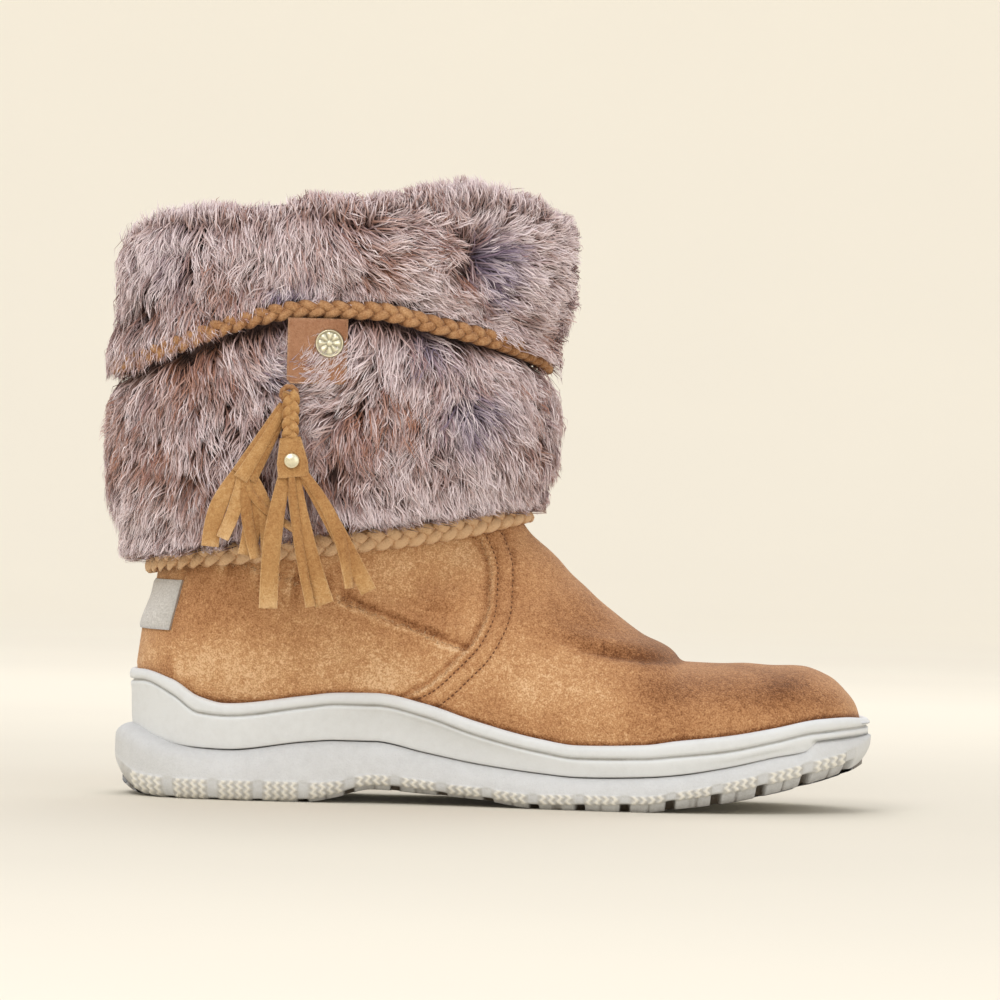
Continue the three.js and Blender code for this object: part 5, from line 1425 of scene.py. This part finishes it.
    # What stands at the rim leans in over the collar
    lift = np.where(stand, (rim_share - 0.36) * 14 + local.normal(0, 0.8, HAIR_COUNT), lift)
    tip = root + root_out * lift[:, None] + flow * reach[:, None]
    lock_tip = tip.reshape(-1, HAIRS, 3).mean(1)
    tuft_tip = lock(lock_tip.reshape(-1, LOCKS, 3).mean(1))
    drawn = mix(lock_tip, tuft_tip, local.uniform(0.1, 0.4, LOCK_COUNT)[:, None])
    pull = local.uniform(0.35, 0.85, HAIR_COUNT) * np.where(stand, 0.6, 1.0)
    tip = mix(tip, hair(drawn), pull[:, None])
    arch = lift * local.uniform(0.85, 1.2, HAIR_COUNT)
    bend = root + root_out * arch[:, None] + flow * (reach * 0.36)[:, None]
    if side < 0:
        press_behind_tab(root, bend, tip, upper, local)
    points, faces = strand_mesh(root, bend, tip, flow, root_out, reach, local)
    colours = strand_colours(root[:, 0] + 3 * a, z + 4 * u, side, stand, local)
    piece = build(name, points, faces, strands, ())
    set_colour(piece, "strand", np.clip(colours, 0.01, 0.95).reshape(-1, 3))


def make_underfur_shade():
    """A dark sheet inside the fur at the strands' roots: the underfur's dark colour and painted shade of the
    fur's depth.
    """
    angles = np.linspace(0, 2 * math.pi, 120, endpoint=False)
    places = [("lower", rise, 0.6) for rise in (0, 0.04, 0.12, 0.3, 0.5, 0.7, 0.85, 0.95, 1)]
    places += [("upper", rise, 0.6) for rise in (0, 0.06, 0.2, 0.4, 0.6, 0.74, 0.84)]
    places += [("upper", 0.89, 0.45), ("upper", 0.9, 0.1), ("upper", 0.84, 0.03)]
    rings = [fur_point(roll, rise, angles, share)[0] for roll, rise, share in places]
    faces = grid_faces(len(rings), len(angles))[:, ::-1]
    build("underfur_shade_sheet", rings, faces, underfur_shade, ("fur_shaft",))


make_underfur_shade()
for roll_name in ("lower", "upper"):
    for half, flank in ((-1, "outer"), (1, "inner")):
        make_strands("fur_" + roll_name + "_" + flank, roll_name, half, 21 + half + (roll_name == "upper"))


# Tabs and badges
def tab_piece(name, node, side):
    """A suede tab on the box of its solid, with rounded lower corners and worn edges."""
    low, high = box_of(node)
    across, down = 26, 28
    u, v = np.meshgrid(np.linspace(-1, 1, across), np.linspace(-1, 1, down), indexing="ij")
    half, middle = (high - low) / 2, (high + low) / 2
    x = middle[0] + u * half[0]
    z = middle[2] + v * half[2]
    corner = np.maximum(np.abs(u) - 0.84, 0) / 0.16
    bottom = np.maximum(-v - 0.84, 0) / 0.16
    square = np.hypot(corner, bottom)
    x = x - np.sign(u) * np.where(square > 1, (square - 1) * 2.0, 0)
    z = z + np.where(square > 1, (square - 1) * 2.0, 0)
    edge = np.maximum(np.abs(u), np.abs(v))
    crown = 0.35 * (1 - u**2) + 0.12 * np.sin(u * 3 + v * 2)
    thick = (0.5 * (high[1] - low[1])) * (1 - smooth(0.94, 1.0, edge) * 0.7)
    front = middle[1] + side * (thick + crown)
    back = middle[1] - side * thick
    points = [np.stack([x, y, z], -1).reshape(-1, 3) for y in (front, back)]
    faces = [*grid_faces(across, down, False), *grid_faces(across, down, False, u.size)[:, ::-1]]
    faces += rim_faces(across, down)
    piece = build(name, np.concatenate(points), faces, tab_suede, (node,))
    tone = 0.55 - 0.1 * v - 0.15 * smooth(0, 1, u) + 0.3 * (edge > 0.95)
    set_value(piece, "tone", np.concatenate([tone.ravel(), tone.ravel()]))


def disc_piece(name, node, material, petals, side):
    """A round metal piece on the box of its solid, with raised petals or else a dome."""
    low, high = box_of(node)
    middle = (low + high) / 2
    radius = (high[0] - low[0]) / 2
    thick = high[1] - low[1]
    rings = np.concatenate([np.linspace(0, 0.8, 14), np.linspace(0.84, 1, 7)])
    turn = np.linspace(0, 2 * math.pi, 72, endpoint=False)
    r, t = np.meshgrid(rings, turn, indexing="ij")
    rim = bell(r, 0.88, 0.06)
    if petals:
        petal = np.abs(np.cos(petals * t / 2)) ** 1.5 * smooth(0.18, 0.4, r) * (1 - smooth(0.66, 0.76, r))
        button = 1 - smooth(0.12, 0.2, r)
        height = 0.45 + 0.4 * rim + 0.38 * petal + 0.5 * button
        tone = 0.22 + 0.75 * np.maximum(np.maximum(rim, petal), button)
    else:
        height = np.sqrt(np.clip(1 - (r * 0.94) ** 2, 0, 1)) + 0.12 * rim
        tone = 0.75 + 0.2 * (1 - r)
    height = height * (1 - smooth(0.95, 1.0, r)) * thick
    base = middle[1] - side * thick / 2
    x, z = middle[0] + radius * r * np.cos(t), middle[2] + radius * r * np.sin(t)
    points = np.stack([x, base + side * height, z], -1)
    faces = grid_faces(len(rings), len(turn))
    if side > 0:
        faces = faces[:, ::-1]
    piece = build(name, points, faces, material, (node,))
    set_value(piece, "tone", tone)


tab_piece("tab_outer", "keeper_tab_outer", -1)
tab_piece("tab_inner", "keeper_tab_inner", 1)
disc_piece("concho_outer", "badge_outer", badge_metal, petals=8, side=-1)
disc_piece("concho_inner", "badge_inner", badge_metal, petals=8, side=1)
disc_piece("rivet_dome", "rivet", rivet_metal, petals=0, side=-1)


# Thong loop and tassels
RING_LOW, RING_HIGH = box_of("thong_loop")
KNOT = np.array(((RING_LOW[0] + RING_HIGH[0]) / 2, 0, RING_HIGH[2]))


def seat_of(node):
    """How far out the middle of a tassel's solid lies."""
    low, high = box_of(node)
    return -(low[1] + high[1]) / 2


LEFT_SEAT = seat_of("tassel_left")
RIGHT_SEAT = seat_of("tassel_right")


def ribbon(places, widths, thickness, fronts, twists, tones):
    """A flat strip with rounded edges along a path in side view; returns points, faces and tones."""
    x, z = np.array(places, float).T
    front = np.asarray(fronts, float) * np.ones(len(x))
    path = np.stack([x, -front, z], -1)
    way = unit(np.gradient(path, axis=0))
    out = np.array((0, -1.0, 0))
    side = unit(np.cross(way, out))
    up = unit(np.cross(side, way))
    twist = np.asarray(twists, float) * np.ones(len(x))
    s = side * np.cos(twist)[:, None] + up * np.sin(twist)[:, None]
    u = -side * np.sin(twist)[:, None] + up * np.cos(twist)[:, None]
    section = (
        (0.5, 0.2), (0.44, 0.5), (0, 0.5), (-0.44, 0.5), (-0.5, 0.2),
        (-0.5, -0.2), (-0.44, -0.5), (0.44, -0.5), (0.5, -0.2))
    widths = np.asarray(widths, float) * np.ones(len(x))
    tones = np.asarray(tones) * np.ones(len(x))
    points = np.stack([path + s * (a * widths)[:, None] + u * (b * thickness) for a, b in section], 1)
    # The cut edges are paler, and the back, which faces the boot, is darker with painted shade
    tone = [tones + (0.24 if abs(a) > 0.47 else 0) - (0.3 if b < 0 else 0) for a, b in section]
    columns = len(section)
    faces = [tuple(f) for f in grid_faces(len(x), columns)]
    faces.append(tuple(range(columns)))
    faces.append(tuple(range(len(x) * columns - 1, (len(x) - 1) * columns - 1, -1)))
    return points.reshape(-1, 3), faces, np.stack(tone, 1).ravel()


def joined(name, parts, material, nodes):
    """One piece from several ribbons."""
    points, faces, tones, start = [], [], [], 0
    for p, f, t in parts:
        points.append(p)
        tones.append(t)
        faces += [tuple(i + start for i in face) for face in f]
        start += len(p)
    piece = build(name, np.concatenate(points), faces, material, nodes)
    set_value(piece, "tone", np.concatenate(tones))


def from_knot(aside, drop):
    """A place in side view, in shares of the tassels' length aside of the knot and below it."""
    return KNOT[0] + aside * TASSEL, KNOT[2] - drop * TASSEL


# Strips: end aside and drop, layer, width, bow to the side, twist at the end
LEFT_STRIPS = (
    (-0.335, 0.732, 0.2, 6.4, -0.03, 0.2), (-0.28, 0.695, 1.4, 5.1, 0.02, -0.4),
    (-0.171, 0.768, 0.3, 6.6, 0.03, 0.1), (-0.128, 0.78, 1.6, 4.4, -0.02, 0.5),
    (-0.073, 0.756, 0.6, 6.0, 0.03, -0.2), (0.061, 0.659, 1.7, 3.0, -0.09, 0.9),
)
RIGHT_STRIPS = (
    (-0.067, 1.0, 0.3, 6.7, -0.02, 0.1), (0.122, 0.988, 1.5, 3.5, -0.02, 0.3),
    (0.183, 0.976, 0.2, 7.3, -0.03, -0.15), (0.293, 0.902, 1.5, 4.8, 0.05, 0.9),
    (0.378, 0.915, 0.4, 6.0, 0.0, 0.1),
)


def tassel_strips(head, seat, table):
    parts = []
    for aside, drop, layer, width, bow, twist in table:
        start, end = np.array(from_knot(*head)), np.array(from_knot(aside, drop))
        t = np.linspace(0, 1, 20)
        x = mix(start[0], end[0], t**0.85) + bow * TASSEL * np.sin(math.pi * t)
        z = mix(start[1], end[1], t)
        front = seat - 1.6 + 1.4 * (0.5 + layer * 0.7) + 0.25 * np.sin(5 * t + layer)
        widths = width * mix(0.62, 1, np.minimum(2 * t, 1))
        tones = 0.5 + 0.09 * layer * math.sin(23 * aside + 3 * drop) + 0.24 * smooth(0.7, 1, t)
        parts.append(ribbon(np.stack([x, z], -1), widths, 1.3, front, twist * t**2, tones))
    return parts


def left_tassel():
    """Strips from a wrapped head."""
    parts = tassel_strips((-0.19, 0.366), LEFT_SEAT, LEFT_STRIPS)
    top = (KNOT[0] - 1.5, KNOT[2] - 7.7)
    head = from_knot(-0.19, 0.416)
    t = np.linspace(0, 1, 16)
    x = mix(top[0], head[0], t**1.05)
    z = mix(top[1], head[1], t)
    widths, tones = 10 * mix(0.42, 1, t**0.8), 0.5 + 0.05 * np.sin(6 * t)
    parts.append(ribbon(np.stack([x, z], -1), widths, 3.0, LEFT_SEAT, 0.0, tones))
    # A second lap of the wrap, with its edge showing down the front
    lap = np.stack([x - 1.3 * t, z - 1], -1)
    parts.append(ribbon(lap, 5.4 * mix(0.5, 1, t), 1.0, LEFT_SEAT + 1.7, 0.05, 0.6))
    return parts


def right_tassel():
    """Strips from a riveted head, under a short plait."""
    parts = tassel_strips((0.012, 0.33), RIGHT_SEAT, RIGHT_STRIPS)
    x0, top = from_knot(0.012, 0.037)
    _, low = from_knot(0.012, 0.256)
    t = np.linspace(0, 1, 14)
    x = x0 + mix(0.0, 1.6, t)
    z = mix(low + 1.5, low - 13, t)
    widths = 10.5 * mix(0.72, 1.08, np.minimum(t * 1.6, 1))
    parts.append(ribbon(np.stack([x, z], -1), widths, 3.0, RIGHT_SEAT, 0.0, 0.55))
    t = np.linspace(0, 1, 30)
    for strand in range(3):
        phase = 2 * math.pi * (1.6 * t + strand / 3)
        x = x0 + 1.7 * np.sin(phase)
        z = mix(top, low, t)
        # Each strand is lighter where it comes forward over the others and darker where it goes under:
        # painted highlight and painted shade
        parts.append(ribbon(np.stack([x, z], -1), 3.0, 1.5, RIGHT_SEAT + 0.7 * np.sin(2 * phase), 0.0,
                            0.5 + 0.15 * np.sin(2 * phase)))
    return parts


joined("tassel_strips_left", left_tassel(), tassel_suede, ("tassel_left",))
joined("tassel_strips_right", right_tassel(), tassel_suede, ("tassel_right",))


def loop_piece():
    middle = (RING_LOW + RING_HIGH) / 2
    cord = (RING_HIGH[1] - RING_LOW[1]) / 2
    radius = (RING_HIGH[0] - RING_LOW[0]) / 2 - cord
    rings, sides = 40, 12
    turns = [np.linspace(0, 2 * math.pi, count, endpoint=False) for count in (rings, sides)]
    u, v = np.meshgrid(*turns, indexing="ij")
    wide = cord * (1 + 0.12 * np.sin(9 * u + 3))
    points = np.stack([
        middle[0] + (radius + wide * np.cos(v)) * np.cos(u),
        middle[1] + cord * np.sin(v),
        middle[2] + (radius + wide * np.cos(v)) * np.sin(u)], -1)
    faces = ring_faces(rings, sides)
    piece = build("loop_cord", points, faces, cord_suede, ("thong_loop",))
    set_value(piece, "tone", np.full(rings * sides, 0.4))


loop_piece()


# Heel tag
def tag_piece():
    """A woven tag bent round the heel's back, with its ends cut on the slant."""
    low, high = 0.585 * INSTEP, 0.76 * INSTEP
    rings, columns = 16, 60
    edge = 0.05 * SOLE + 7.5
    share = np.linspace(-1, 1, columns)
    curves = []
    for z in np.linspace(low, high, rings):
        front_x = edge + 0.25 * (z - low)
        turn_low, turn_high = np.float64(0), np.float64(math.pi)
        for _ in range(40):
            middle = (turn_low + turn_high) / 2
            station = station_at(math.pi + middle, lambda p: z)
            if last_surface(station, math.pi + middle)[0] < front_x:
                turn_low = middle
            else:
                turn_high = middle
        angle = math.pi + share * turn_low
        station = station_at(angle, lambda p: z)
        curves.append((last_surface(station, angle), last_normal(station, angle)))
    points, normals = (np.array(part) for part in zip(*curves))
    v, u = np.meshgrid(np.linspace(-1, 1, rings), share, indexing="ij")
    hem = np.maximum(np.abs(u) ** 6, np.abs(v) ** 6)
    rim = smooth(0.9, 1, np.maximum(np.abs(u), np.abs(v)))
    front = points + normals * (HEEL_STEP + GAP + 0.85 - 0.5 * rim)[..., None]
    back = points + normals * 0.6
    both = np.concatenate([front.reshape(-1, 3), back.reshape(-1, 3)])
    faces = [*grid_faces(rings, columns, False), *rim_faces(rings, columns)]
    piece = build("heel_tag", both, faces, woven, ("heel_label",))
    set_value(piece, "tone", np.concatenate([(1 - 0.35 * hem).ravel(), np.full(hem.size, 0.5)]))


tag_piece()
